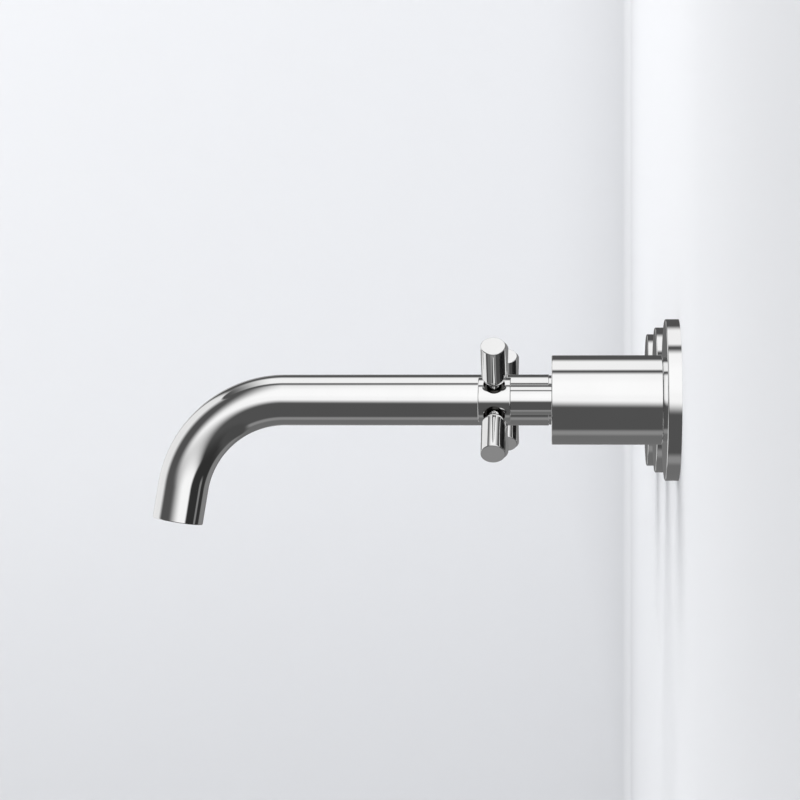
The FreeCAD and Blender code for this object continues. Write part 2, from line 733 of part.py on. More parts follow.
def handle_screw(label, x):
    body = new_body(label)
    top = screw_seat + S.screw_head_height
    turned(body, label + "_turning", [
        (0, screw_tip), (S.screw_radius, screw_tip), (S.screw_radius, screw_seat),
        (S.screw_head_radius, screw_seat), (S.screw_head_radius, top), (0, top),
    ])
    socket = new_sketch(body, label + "_socket_outline", "XY_Plane", top)
    draw_hexagon(socket, S.key_socket_radius)
    cut(body, label + "_socket", socket, S.key_socket_depth)
    place(body, x)


def index_cap(label, x):
    body = new_body(label)
    bore = S.dot_radius + S.dot_gap
    dot_seat = hub_front - S.dot_thickness
    turned(body, label + "_disc", [
        (0, cap_seat), (S.cap_radius, cap_seat), (S.cap_radius, hub_front), (bore, hub_front),
        (bore, dot_seat), (0, dot_seat),
    ])
    place(body, x)


def index_dot(label, x):
    body = new_body(label)
    back = hub_front - S.dot_thickness
    turned(body, label + "_disc", [
        (0, back), (S.dot_radius, back), (S.dot_radius, hub_front), (0, hub_front),
    ])
    place(body, x)


# Spout


def spout_nipple(label):
    body = new_body(label)
    section = S.spout_ring_section
    bore = S.spout_nipple_bore
    spigot = spout_bore - S.spigot_gap
    rear = boss_face - S.outlet_thread_length
    end = S.spout_ring_second + S.spigot_lead
    turned(body, label + "_turning", [
        (bore, rear), (S.outlet_thread, rear), (S.outlet_thread, boss_face),
        (nipple_radius, boss_face), (nipple_radius, S.nipple_front), (spigot, S.nipple_front),
    ] + ring_groove(spigot, spout_bore, section, S.spout_ring_first)
      + ring_groove(spigot, spout_bore, section, S.spout_ring_second) + [
        (spigot, end), (bore, end),
    ])
    place(body)


def spout_sleeve(label):
    body = new_body(label)
    turned(body, label + "_shell", sleeve_outside() + [
        (spout_neck_bore, S.sleeve_front), (spout_neck_bore, sleeve_step),
        (thread_bore, sleeve_step),
    ])
    round_sleeve(body, label)
    down = Rotation(Vector(1, 0, 0), 90)
    hole = S.grub_radius + S.thread_clearance
    length = S.sleeve_radius + S.cut_spare
    rod(body, label + "_hole", hole, length, 0, 0, S.grub_station, down, True)
    place(body)


def grub_screw(label):
    body = new_body(label)
    end = S.sleeve_radius - S.grub_recess
    turned(body, label + "_turning", [
        (0, spout_neck_bore), (S.grub_radius, spout_neck_bore), (S.grub_radius, end), (0, end),
    ])
    socket = new_sketch(body, label + "_socket_outline", "XY_Plane", end)
    draw_hexagon(socket, S.key_socket_radius)
    cut(body, label + "_socket", socket, S.key_socket_depth)
    place(body, 0, -S.grub_station, 0, Rotation(Vector(1, 0, 0), 180))


def spout_path(body, label):
    """Centre line of the spout: straight out of the wall, one bend, a short straight end."""
    path = new_sketch(body, label + "_path", "YZ_Plane")
    run, radius = S.spout_run, S.bend_radius
    bend_fall = radius - radius * cosine(S.bend_angle)
    bend_end = Vector(-bend_fall.number, (run + radius * sine(S.bend_angle)).number, 0)
    end = Vector(-outlet_fall.number, outlet_station.number, 0)
    bend = Part.Circle(Vector(-radius.number, run.number, 0), Vector(0, 0, 1), radius.number)
    turn = math.radians(S.bend_angle.number)
    start = Vector(0, spout_start.number, 0)
    path.addGeometry(Part.LineSegment(start, Vector(0, run.number, 0)), False)
    path.addGeometry(Part.ArcOfCircle(bend, 0, turn), False)
    path.addGeometry(Part.LineSegment(bend_end, end), False)
    pin_point(path, 0, 1, 0, spout_start)
    pin_point(path, 0, 2, 0, run)
    pin_point(path, 1, 3, -radius, run)
    path.addConstraint(Sketcher.Constraint("Coincident", 0, 2, 1, 1))
    path.addConstraint(Sketcher.Constraint("Coincident", 1, 2, 2, 1))
    fix = Sketcher.Constraint("DistanceX", -1, 1, 1, 2, bend_end.x)
    bind(path, "Constraints[%d]" % path.addConstraint(fix), -bend_fall)
    pin_point(path, 2, 2, -outlet_fall, outlet_station)
    return path


def spout_tube(label):
    body = new_body(label)
    path = spout_path(body, label)
    section = new_sketch(body, label + "_section", "XY_Plane", spout_start)
    draw_circle(section, S.spout_radius)
    draw_circle(section, spout_bore)
    doc.recompute()
    pipe = body.newObject("PartDesign::AdditivePipe", label + "_pipe")
    pipe.Profile = section
    pipe.Spine = (path, ["Edge1", "Edge2", "Edge3"])
    turned(body, label + "_neck", ring(spout_bore, spout_neck, sleeve_step, spout_start))
    mouth = new_sketch(body, label + "_mouth_outline", "XY_Plane", outlet_station,
                       Rotation(Vector(1, 0, 0), S.bend_angle.number))
    bind(mouth, "AttachmentOffset.Rotation.Angle", S.bend_angle)
    bind(mouth, "AttachmentOffset.Base.y", -outlet_fall)
    draw_circle(mouth, mouth_radius)
    cut(body, label + "_mouth", mouth, mouth_depth)
    round_outlet(body, label + "_edge")
    place(body)


def round_outlet(body, name):
    """Rounds the outside edge of the outlet and the edge beside the groove."""
    base = body.Tip
    centres = [Vector(0, 0, spout_start.number),
               Vector(0, -outlet_fall.number, outlet_station.number)]
    edges = []
    for index, edge in enumerate(base.Shape.Edges, 1):
        curve = edge.Curve
        if not isinstance(curve, Part.Circle):
            continue
        off = abs(curve.Radius - S.spout_radius.number)
        if off + min(curve.Center.distanceToPoint(centre) for centre in centres) < EDGE_MATCH:
            edges.append("Edge%d" % index)
    if len(edges) != 2:
        raise ValueError("the spout has %d edges to round" % len(edges))
    fillet = body.newObject("PartDesign::Fillet", name)
    fillet.Base = (base, edges)
    bind(fillet, "Radius", S.spout_edge)


# Aerator: its own Z axis leaves the outlet, and a station is the distance past the outlet's edge


def at_outlet(body):
    turn = Rotation(Vector(1, 0, 0), 90 + S.bend_angle.number)
    place(body, 0, -outlet_station, -outlet_fall, turn)
    bind(body, "Placement.Rotation.Angle", S.bend_angle + 90)


housing_radius = mouth_radius - S.aerator_gap
housing_bore = housing_radius - S.aerator_wall
housing_back = -(S.aerator_recess + S.aerator_length)
lip_back = -(S.aerator_recess + S.aerator_lip)
insert_radius = housing_bore - S.insert_gap
insert_back = lip_back - S.insert_length


def aerator_housing(label):
    body = new_body(label)
    front = -S.aerator_recess
    lip = housing_bore - S.aerator_lip_width
    turned(body, label + "_turning", [
        (housing_bore, housing_back), (housing_radius, housing_back), (housing_radius, front),
        (lip, front), (lip, lip_back), (housing_bore, lip_back),
    ])
    at_outlet(body)


def hole_rings(body, label, front, depth, radius, distance, spacing, counts):
    """Rings of small holes through a plate, from the outer ring inwards."""
    for count in counts:
        name = "%s_%d" % (label, count)
        hole = new_sketch(body, name + "_outline", "XY_Plane", front)
        draw_circle(hole, radius, distance, 0)
        around(body, name + "_ring", cut(body, name, hole, depth), count)
        distance = distance - spacing


def aerator_insert(label):
    body = new_body(label)
    inner = insert_radius - S.insert_rim
    plate_front = lip_back - S.insert_plate_rise
    plate_back = plate_front - S.insert_plate
    turned(body, label + "_turning", [
        (0, plate_back), (inner, plate_back), (inner, insert_back), (insert_radius, insert_back),
        (insert_radius, lip_back), (inner, lip_back), (inner, plate_front), (0, plate_front),
    ])
    hole_rings(body, label + "_hole", plate_front, S.insert_plate, S.insert_hole,
               inner - S.insert_margin, S.insert_spacing, INSERT_HOLES)
    at_outlet(body)


def aerator_screen(label):
    body = new_body(label)
    back = insert_back - S.screen_thickness
    turned(body, label + "_disc", [
        (0, back), (insert_radius, back), (insert_radius, insert_back), (0, insert_back),
    ])
    hole_rings(body, label + "_hole", insert_back, S.screen_thickness, S.screen_hole,
               insert_radius - S.screen_margin, S.screen_spacing, SCREEN_HOLES)
    at_outlet(body)


def aerator_washer(label):
    body = new_body(label)
    bore = housing_bore - S.washer_overhang
    turned(body, label + "_ring", ring(bore, housing_radius, -mouth_depth, housing_back))
    at_outlet(body)


# Concealed body: one brass casting in the wall


def concealed_body(label):
    body = new_body(label)
    along = Rotation(Vector(0, 1, 0), 90)
    down = Rotation(Vector(1, 0, 0), 90)
    span = S.valve_offset * 2
    level = -S.cross_depth
    columns = [("hot", -S.valve_offset), ("cold", S.valve_offset)]
    rod(body, "cross_tube", S.cross_radius, span, -S.valve_offset, 0, level, along)
    waterway_back = S.cross_depth + S.outlet_bore
    outlet_depth = waterway_back + S.outlet_floor
    rod(body, "outlet_boss", boss_radius, outlet_depth - S.boss_depth, 0, 0, -outlet_depth)
    chamber_depth = inlet_depth + S.inlet_radius + S.chamber_back
    for side, x in columns:
        chamber_length = chamber_depth - S.boss_depth
        rod(body, side + "_chamber", boss_radius, chamber_length, x, 0, -chamber_depth)
        rod(body, side + "_stub", S.inlet_radius, S.inlet_drop, x, 0, -inlet_depth, down)
        ears(body, side, x)
    rod(body, "cross_bore", S.cross_bore, span, -S.valve_offset, 0, level, along, True)
    thread = S.outlet_thread + S.thread_clearance
    thread_length = S.outlet_thread_length + S.nipple_end_gap
    rod(body, "outlet_thread", thread, thread_length, 0, 0, boss_face - thread_length, remove=True)
    waterway_length = waterway_back - S.boss_depth
    rod(body, "outlet_bore", S.outlet_bore, waterway_length, 0, 0, -waterway_back, remove=True)
    for side, x in columns:
        chamber_cuts(body, side, x, down)
    place(body)


def ears(body, side, x):
    """Upper and lower fixing ear of one valve chamber."""
    front = -S.ear_depth
    outline = new_sketch(body, side + "_ear_outline", "XY_Plane", front)
    left, right = x - S.ear_radius, x + S.ear_radius
    low, high = -S.ear_offset, S.ear_offset
    draw_outline(outline, [(left, low), (right, low), (right, high), (left, high)])
    pushed(body, side + "_ear_bar", outline, S.ear_thickness, "Pad", True)
    for end, y in (("upper", S.ear_offset), ("lower", -S.ear_offset)):
        name = "%s_%s_ear" % (side, end)
        rod(body, name, S.ear_radius, S.ear_thickness, x, y, front - S.ear_thickness)


def chamber_cuts(body, side, x, down):
    """Thread, cartridge bore, waterway, inlet and fixing holes of one valve chamber."""
    thread_length = S.shoulder_depth - S.boss_depth
    rod(body, side + "_thread", thread_bore, thread_length, x, 0, shoulder, remove=True)
    bore_length = S.seat_depth - S.shoulder_depth
    rod(body, side + "_bore", S.chamber_bore, bore_length, x, 0, seat, remove=True)
    waterway_back = inlet_depth + S.seat_waterway
    waterway_length = waterway_back - S.seat_depth
    rod(body, side + "_waterway", S.seat_waterway, waterway_length, x, 0, -waterway_back, remove=True)
    rod(body, side + "_riser", S.inlet_waterway, S.inlet_drop, x, 0, -inlet_depth, down, True)
    thread_top = S.inlet_thread_length - S.inlet_drop
    rod(body, side + "_inlet", S.inlet_thread, S.inlet_thread_length,
        x, thread_top, -inlet_depth, down, True)
    hole_back = -S.ear_depth - S.ear_thickness
    for end, y in (("upper", S.ear_offset), ("lower", -S.ear_offset)):
        name = "%s_%s_hole" % (side, end)
        rod(body, name, S.ear_hole, S.ear_thickness, x, y, hole_back, remove=True)


# Assembly

concealed_body("concealed_body")
for column, offset in (("hot", -S.valve_offset), ("spout", 0), ("cold", S.valve_offset)):
    wall_plate(column + "_wall_plate", offset)
    wall_seal(column + "_wall_seal", offset)

for column, offset in (("hot", -S.valve_offset), ("cold", S.valve_offset)):
    valve_nipple(column + "_nipple", offset)
    valve_sleeve(column + "_sleeve", offset)
    stem_guide(column + "_stem_guide", offset)
    cartridge_body(column + "_cartridge_body", offset)
    seat_seal(column + "_seat_seal", offset)
    fixed_disc(column + "_fixed_disc", offset)
    moving_disc(column + "_moving_disc", offset)
    cartridge_spindle(column + "_spindle", offset)
    spindle_ring_radius = ring_centre_radius(spindle_bore, S.spindle_ring_section)
    o_rings(column + "_spindle_o_rings", offset, spindle_ring_radius, S.spindle_ring_section,
            (S.spindle_ring_first, S.spindle_ring_second))
    snap_ring(column + "_snap_ring", offset)
    spindle_extension(column + "_spindle_extension", offset)
    handle_hub(column + "_handle_hub", offset)
    for number in range(ARM_COUNT):
        handle_arm("%s_handle_arm_%d" % (column, number + 1), offset, number)
    handle_screw(column + "_handle_screw", offset)
    index_cap(column + "_index_cap", offset)
    index_dot(column + "_index_dot", offset)

spout_nipple("spout_nipple")
spout_ring_radius = ring_centre_radius(spout_bore, S.spout_ring_section)
o_rings("spout_o_rings", 0, spout_ring_radius, S.spout_ring_section,
        (S.spout_ring_first, S.spout_ring_second))
spout_sleeve("spout_sleeve")
grub_screw("spout_grub_screw")
spout_tube("spout_tube")
aerator_housing("aerator_housing")
aerator_insert("aerator_insert")
aerator_screen("aerator_screen")
aerator_washer("aerator_washer")
doc.recompute()

# Every object and every piece is sound before anything is written

for item in doc.Objects:
    if "Invalid" in item.State or "Error" in item.State:
        raise ValueError("%s failed: %s" % (item.Name, item.State))
for node in NODES:
    if node.Shape.isNull() or not node.Shape.isValid() or not node.Shape.Solids:
        raise ValueError(node.Label + " has no sound shape")

os.makedirs("parts", exist_ok=True)
for node in NODES:
    node.Shape.exportStep("parts/%s.step" % node.Label)
    print("%-26s %2d solid  %9.1f mm3" % (node.Label, len(node.Shape.Solids), node.Shape.Volume))
print(len(NODES), "nodes")
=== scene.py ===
import math

import bmesh
import bpy
from mathutils import Matrix, Vector


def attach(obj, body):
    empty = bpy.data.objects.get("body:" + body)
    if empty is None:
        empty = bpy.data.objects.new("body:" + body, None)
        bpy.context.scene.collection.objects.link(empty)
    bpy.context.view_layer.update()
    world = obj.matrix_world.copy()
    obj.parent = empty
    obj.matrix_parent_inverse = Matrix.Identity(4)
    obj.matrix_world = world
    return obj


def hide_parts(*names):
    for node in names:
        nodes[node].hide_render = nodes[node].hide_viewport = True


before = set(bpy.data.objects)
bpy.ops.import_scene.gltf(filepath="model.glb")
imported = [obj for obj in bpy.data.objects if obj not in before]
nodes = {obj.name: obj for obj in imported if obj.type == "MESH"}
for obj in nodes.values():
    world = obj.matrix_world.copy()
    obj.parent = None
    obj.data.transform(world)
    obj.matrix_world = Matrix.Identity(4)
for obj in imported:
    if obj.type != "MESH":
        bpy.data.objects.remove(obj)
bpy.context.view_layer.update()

# Concealed body. One brass casting in the wall: two valve chambers, a cross tube and the outlet
# boss, with two inlets from below and four ears. Sand cast, so its skin is grainy and dull.

MM = 0.001
VALVES = {"hot": -100 * MM, "cold": 100 * MM}


def srgb(code):
    """An sRGB hex colour as the linear colour that a shader takes."""
    parts = [int(code[i:i + 2], 16) / 255 for i in (0, 2, 4)]
    return [c / 12.92 if c <= 0.04045 else ((c + 0.055) / 1.055) ** 2.4 for c in parts] + [1]


def add_node(tree, kind, inputs, **settings):
    """Adds one node. Each input takes a value, or the socket that it is linked to."""
    node = tree.nodes.new(kind)
    for name, value in settings.items():
        setattr(node, name, value)
    for name, value in inputs.items():
        if isinstance(value, bpy.types.NodeSocket):
            tree.links.new(value, node.inputs[name])
        else:
            node.inputs[name].default_value = value
    return node


def new_finish(name, metallic=0, **sockets):
    """A material with its shader, its output and the piece's own coordinates."""
    finish = bpy.data.materials.new(name)
    finish.use_nodes = True
    tree = finish.node_tree
    tree.nodes.clear()
    shader = add_node(tree, "ShaderNodeBsdfPrincipled", {"Metallic": metallic, **sockets})
    add_node(tree, "ShaderNodeOutputMaterial", {"Surface": shader.outputs["BSDF"]})
    place = add_node(tree, "ShaderNodeTexCoord", {}).outputs["Object"]
    return finish, tree, shader, place


def dress(finish, *names):
    """Gives a finish to CAD nodes that stay in view."""
    for name in names:
        slot = nodes[name].material_slots[0]
        slot.link = "OBJECT"
        slot.material = finish


# Sand-cast brass: dull yellow with darker, browner hollows, and a grain of about 0.8 mm.
cast_brass, tree, shader, place = new_finish("sand_cast_brass", 1)
patches = add_node(tree, "ShaderNodeTexNoise", {"Vector": place, "Scale": 90, "Detail": 5})
tone = add_node(tree, "ShaderNodeValToRGB", {"Fac": patches.outputs["Fac"]})
tone.color_ramp.elements[0].position = 0.3
tone.color_ramp.elements[0].color = srgb("8A6C3A")
tone.color_ramp.elements[1].position = 0.7
tone.color_ramp.elements[1].color = srgb("C9A25C")
tree.links.new(tone.outputs["Color"], shader.inputs["Base Color"])
dull = add_node(tree, "ShaderNodeMapRange", {"Value": patches.outputs["Fac"], "To Min": 0.55,
                                             "To Max": 0.38})
tree.links.new(dull.outputs["Result"], shader.inputs["Roughness"])
grain = add_node(tree, "ShaderNodeTexNoise", {"Vector": place, "Scale": 1200, "Detail": 3})
bump = add_node(tree, "ShaderNodeBump", {"Height": grain.outputs["Fac"], "Strength": 0.5,
                                         "Distance": 0.25 * MM})
tree.links.new(bump.outputs["Normal"], shader.inputs["Normal"])
dress(cast_brass, "concealed_body")

# Wall seals. Flat rings of black EPDM rubber in the back of each wall plate, cut from moulded
# sheet, so they are matt with a faint mottle.

rubber, tree, shader, place = new_finish("moulded_black_rubber", Roughness=0.8)
mottle = add_node(tree, "ShaderNodeTexNoise", {"Vector": place, "Scale": 500, "Detail": 4})
tone = add_node(tree, "ShaderNodeMix", {"Factor": mottle.outputs["Fac"], "A": srgb("121214"),
                                        "B": srgb("242427")}, data_type="RGBA")
tree.links.new(tone.outputs["Result"], shader.inputs["Base Color"])
bump = add_node(tree, "ShaderNodeBump", {"Height": mottle.outputs["Fac"], "Strength": 0.3,
                                         "Distance": 0.05 * MM})
tree.links.new(bump.outputs["Normal"], shader.inputs["Normal"])
dress(rubber, "hot_wall_seal", "spout_wall_seal", "cold_wall_seal")

# Wall plates. Turned brass discs, polished and chrome plated, that cover the holes in the wall.
# Each has a small rounded front edge and a groove in its back for the seal.

# Chrome plate over polished brass: neutral and mirror bright, with faint polishing marks along
# the turning, drawn about 0.3 mm apart, and a thin uneven film that dulls it here and there.
chrome, tree, shader, place = new_finish("polished_chrome_plate", 1)
film = add_node(tree, "ShaderNodeTexNoise", {"Vector": place, "Scale": 45, "Detail": 4})
haze = add_node(tree, "ShaderNodeMapRange", {"Value": film.outputs["Fac"], "To Min": 0.02,
                                             "To Max": 0.06})
tree.links.new(haze.outputs["Result"], shader.inputs["Roughness"])
tone = add_node(tree, "ShaderNodeMix", {"Factor": film.outputs["Fac"], "A": srgb("E5E5E5"),
                                        "B": srgb("ECECEC")}, data_type="RGBA")
tree.links.new(tone.outputs["Result"], shader.inputs["Base Color"])
stretch = add_node(tree, "ShaderNodeMapping", {"Vector": place, "Scale": (0.04, 1, 0.04)})
marks = add_node(tree, "ShaderNodeTexNoise", {"Vector": stretch.outputs["Vector"], "Scale": 3200,
                                              "Detail": 2})
bump = add_node(tree, "ShaderNodeBump", {"Height": marks.outputs["Fac"], "Strength": 0.06,
                                         "Distance": 0.02 * MM})
tree.links.new(bump.outputs["Normal"], shader.inputs["Normal"])

PLATE_RADIUS, PLATE_THICKNESS, PLATE_EDGE, PLATE_BORE = 32, 5.4, 0.5, 14.35
GROOVE_IN, GROOVE_OUT, GROOVE_DEPTH = 21.9, 29.5, 2
COLUMNS = {"hot": VALVES["hot"], "spout": 0, "cold": VALVES["cold"]}

# Steps once round a large piece, the usual one and a small one, and over a rounded corner.
LARGE_STEPS, USUAL_STEPS, SMALL_STEPS, CORNER_STEPS = 192, 128, 48, 6
# Points this close are the same corner, or are welded, in mm. Flatter edges than this are smooth.
SAME_CORNER, WELD = 0.001, 0.002
SMOOTH_ANGLE = math.radians(30)


def pick(piece, kind, test):
    """Selects the vertices, edges or faces of a piece in edit mode whose middle passes a test."""
    bpy.ops.mesh.select_all(action="DESELECT")
    bpy.ops.mesh.select_mode(type=kind)
    mesh = bmesh.from_edit_mesh(piece.data)
    parts = {"VERT": mesh.verts, "EDGE": mesh.edges, "FACE": mesh.faces}[kind]
    for part in parts:
        corners = [part] if kind == "VERT" else list(part.verts)
        if test(sum((v.co for v in corners), Vector()) / len(corners) / MM):
            part.select_set(True)
    mesh.select_flush_mode()
    bmesh.update_edit_mesh(piece.data)


def turn_piece(name, outline, rounded=(), steps=USUAL_STEPS):
    """Turns an outline of (radius, station) in mm, as on a lathe. rounded is (corner, edge)."""
    bpy.ops.object.select_all(action="DESELECT")
    bpy.ops.mesh.primitive_plane_add(size=MM)
    piece = bpy.context.object
    piece.name = piece.data.name = name
    bpy.ops.object.mode_set(mode="EDIT")
    bpy.ops.mesh.select_mode(type="VERT")
    bpy.ops.mesh.merge(type="CENTER")
    here = Vector()
    for count, (radius, station) in enumerate(outline):
        step = Vector((radius * MM, 0, station * MM)) - here
        if count == 0:
            bpy.ops.transform.translate(value=step)
        else:
            bpy.ops.mesh.extrude_vertices_move(TRANSFORM_OT_translate={"value": step})
        here = here + step
    bpy.ops.mesh.select_all(action="SELECT")
    bpy.ops.mesh.edge_face_add()
    for (radius, station), edge in rounded:
        corner = Vector((radius, 0, station))
        pick(piece, "VERT", lambda middle: (middle - corner).length < SAME_CORNER)
        bpy.ops.mesh.bevel(affect="VERTICES", offset=edge * MM, segments=CORNER_STEPS)
    bpy.ops.mesh.select_mode(type="FACE")
    bpy.ops.mesh.select_all(action="SELECT")
    bpy.ops.mesh.delete(type="ONLY_FACE")
    bpy.ops.mesh.select_mode(type="EDGE")
    bpy.ops.mesh.select_all(action="SELECT")
    bpy.ops.mesh.spin(steps=steps, angle=math.tau, center=(0, 0, 0), axis=(0, 0, 1))
    finish_mesh()
    return piece


def finish_mesh():
    """Closes the poles and seams of the mesh in edit mode and turns its faces outwards."""
    bpy.ops.mesh.select_all(action="SELECT")
    bpy.ops.mesh.remove_doubles(threshold=WELD * MM)
    bpy.ops.mesh.delete_loose(use_verts=True, use_edges=True, use_faces=False)
    bpy.ops.mesh.select_all(action="SELECT")
    bpy.ops.mesh.normals_make_consistent(inside=False)
    bpy.ops.object.mode_set(mode="OBJECT")
    smooth()


def smooth():
    """Smooths the active piece. Its large faces stay true beside the small ones of a rounding."""
    bpy.ops.object.shade_smooth_by_angle(angle=SMOOTH_ANGLE)
    even = bpy.context.object.modifiers.new("even_normals", "WEIGHTED_NORMAL")
    even.keep_sharp = True
    bpy.ops.object.modifier_apply(modifier=even.name)


def set_down(piece, place, finish, body, *replaced):
    """Puts a piece at its place in its mesh, with its finish, body and the nodes it stands for."""
    bpy.ops.object.select_all(action="DESELECT")
    piece.select_set(True)
    bpy.context.view_layer.objects.active = piece
    piece.matrix_world = place
    bpy.ops.object.transform_apply()
    piece.data.materials.clear()
    piece.data.materials.append(finish)
    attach(piece, body)
    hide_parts(*replaced)


def copy_of(piece, name):
    """A copy with its own mesh, still at the place where its original was made."""
    twin = piece.copy()
    twin.data = piece.data.copy()
    twin.name = twin.data.name = name
    bpy.context.collection.objects.link(twin)
    return twin


def out_of_wall(x):
    """The place of a piece whose axis leaves the wall at x."""
    return Matrix.Translation((x, 0, 0)) @ Matrix.Rotation(math.radians(90), 4, "X")


plate = turn_piece("wall_plate_blank", [
    (PLATE_BORE, 0), (GROOVE_IN, 0), (GROOVE_IN, GROOVE_DEPTH), (GROOVE_OUT, GROOVE_DEPTH),
    (GROOVE_OUT, 0), (PLATE_RADIUS, 0), (PLATE_RADIUS, PLATE_THICKNESS),
    (PLATE_BORE, PLATE_THICKNESS),
], [((PLATE_RADIUS, PLATE_THICKNESS), PLATE_EDGE)], steps=LARGE_STEPS)
for side, x in COLUMNS.items():
    twin = copy_of(plate, side + "_chrome_plate")
    set_down(twin, out_of_wall(x), chrome, "fixed_mixer", side + "_wall_plate")
bpy.data.objects.remove(plate)

# Cartridges. Behind each valve sleeve: a turned brass nipple clamps the cartridge into its
# chamber; in it, a brass spindle turns a ceramic disc on a fixed one, sealed by rubber rings.

# Turned brass: bright yellow, with the lathe's feed marks drawn 1 mm apart so that they show.
turned_brass, tree, shader, place = new_finish("turned_brass", 1)
marks = add_node(tree, "ShaderNodeTexWave", {"Vector": place, "Scale": 2000 / math.tau,
                                             "Distortion": 0.4, "Detail": 1},
                 wave_type="BANDS", bands_direction="Y")
bump = add_node(tree, "ShaderNodeBump", {"Height": marks.outputs["Fac"], "Strength": 0.25,
                                         "Distance": 0.03 * MM})
tree.links.new(bump.outputs["Normal"], shader.inputs["Normal"])
stain = add_node(tree, "ShaderNodeTexNoise", {"Vector": place, "Scale": 140, "Detail": 3})
tone = add_node(tree, "ShaderNodeMix", {"Factor": stain.outputs["Fac"], "A": srgb("C99F52"),
                                        "B": srgb("E0BE76")}, data_type="RGBA")
tree.links.new(tone.outputs["Result"], shader.inputs["Base Color"])
dull = add_node(tree, "ShaderNodeMapRange", {"Value": stain.outputs["Fac"], "To Min": 0.2,
                                             "To Max": 0.34})
tree.links.new(dull.outputs["Result"], shader.inputs["Roughness"])

# Alumina ceramic: lapped, warm white and slightly glossy, with the fine speckle of its powder.
ceramic, tree, shader, place = new_finish("lapped_alumina_ceramic", IOR=1.76)
speckle = add_node(tree, "ShaderNodeTexVoronoi", {"Vector": place, "Scale": 2200})
tone = add_node(tree, "ShaderNodeMix", {"Factor": speckle.outputs["Distance"],
                                        "A": srgb("F1EDE4"), "B": srgb("DDD8CC")},
                data_type="RGBA")
tree.links.new(tone.outputs["Result"], shader.inputs["Base Color"])
gloss = add_node(tree, "ShaderNodeMapRange", {"Value": speckle.outputs["Distance"],
                                              "To Min": 0.18, "To Max": 0.3})
tree.links.new(gloss.outputs["Result"], shader.inputs["Roughness"])

# Stainless steel: drawn wire and sheet, grey, with fine marks along the drawing.
stainless, tree, shader, place = new_finish("drawn_stainless_steel", 1)
stretch = add_node(tree, "ShaderNodeMapping", {"Vector": place, "Scale": (1, 0.1, 1)})
marks = add_node(tree, "ShaderNodeTexNoise", {"Vector": stretch.outputs["Vector"], "Scale": 2500,
                                              "Detail": 3})
tone = add_node(tree, "ShaderNodeMix", {"Factor": marks.outputs["Fac"], "A": srgb("A9ABAD"),
                                        "B": srgb("CDCFD1")}, data_type="RGBA")
tree.links.new(tone.outputs["Result"], shader.inputs["Base Color"])
dull = add_node(tree, "ShaderNodeMapRange", {"Value": marks.outputs["Fac"], "To Min": 0.22,
                                             "To Max": 0.38})
tree.links.new(dull.outputs["Result"], shader.inputs["Roughness"])

for side in VALVES:
    dress(turned_brass, side + "_nipple", side + "_cartridge_body", side + "_spindle",
          side + "_spindle_extension")
    dress(ceramic, side + "_fixed_disc", side + "_moving_disc")
    dress(rubber, side + "_seat_seal", side + "_spindle_o_rings")
    dress(stainless, side + "_snap_ring")

# Sleeves. Turned brass tubes, chrome plated, screwed onto the nipples against the wall plates.
# A shadow groove parts each from its plate, and the front edge is barely broken.

SLEEVE_RADIUS, SLEEVE_FRONT, SLEEVE_EDGE = 17.75, 50, 0.4
SHADOW_WIDTH, SHADOW_DEPTH, SHADOW_EDGE = 1.1, 0.8, 0.32
THREAD_BORE, THREAD_FRONT = 14.05, 22.3
SLEEVE_HOLLOW, SLEEVE_ROOF, GUIDE_HOLE = 15.55, 46, 8.51
DISC_HOLE, DISC_BACK = 14.81, 48
SPOUT_HOLE = 10.98

shadow_front = PLATE_THICKNESS + SHADOW_WIDTH
shadow_floor = SLEEVE_RADIUS - SHADOW_DEPTH
sleeve_outside = [
    (THREAD_BORE, PLATE_THICKNESS), (shadow_floor, PLATE_THICKNESS), (shadow_floor, shadow_front),
    (SLEEVE_RADIUS, shadow_front), (SLEEVE_RADIUS, SLEEVE_FRONT),
]
sleeve_rims = [
    ((SLEEVE_RADIUS, SLEEVE_FRONT), SLEEVE_EDGE), ((shadow_floor, shadow_front), SHADOW_EDGE),
    ((SLEEVE_RADIUS, shadow_front), SHADOW_EDGE),
]
sleeve = turn_piece("valve_sleeve_blank", sleeve_outside + [
    (DISC_HOLE, SLEEVE_FRONT), (DISC_HOLE, DISC_BACK), (GUIDE_HOLE, DISC_BACK),
    (GUIDE_HOLE, SLEEVE_ROOF), (SLEEVE_HOLLOW, SLEEVE_ROOF), (SLEEVE_HOLLOW, THREAD_FRONT),
    (THREAD_BORE, THREAD_FRONT),
], sleeve_rims, steps=LARGE_STEPS)
for side, x in VALVES.items():
    twin = copy_of(sleeve, side + "_chrome_sleeve")
    set_down(twin, out_of_wall(x), chrome, "fixed_mixer", side + "_sleeve")
bpy.data.objects.remove(sleeve)
sleeve = turn_piece("spout_chrome_sleeve", sleeve_outside + [
    (SPOUT_HOLE, SLEEVE_FRONT), (SPOUT_HOLE, THREAD_FRONT), (THREAD_BORE, THREAD_FRONT),
], sleeve_rims, steps=LARGE_STEPS)
set_down(sleeve, out_of_wall(0), chrome, "fixed_mixer", "spout_sleeve")

# Stem guides. Moulded black acetal bushes, pressed into the front of the valve sleeves, that
# centre the handle stems. The disc of each closes its sleeve, half a millimetre back.

GUIDE_BORE, GUIDE_RADIUS, DISC_RADIUS = 5.96, 8.46, 14.76
GUIDE_BACK, GUIDE_FRONT, GUIDE_EDGE = 43.5, 49.5, 0.3

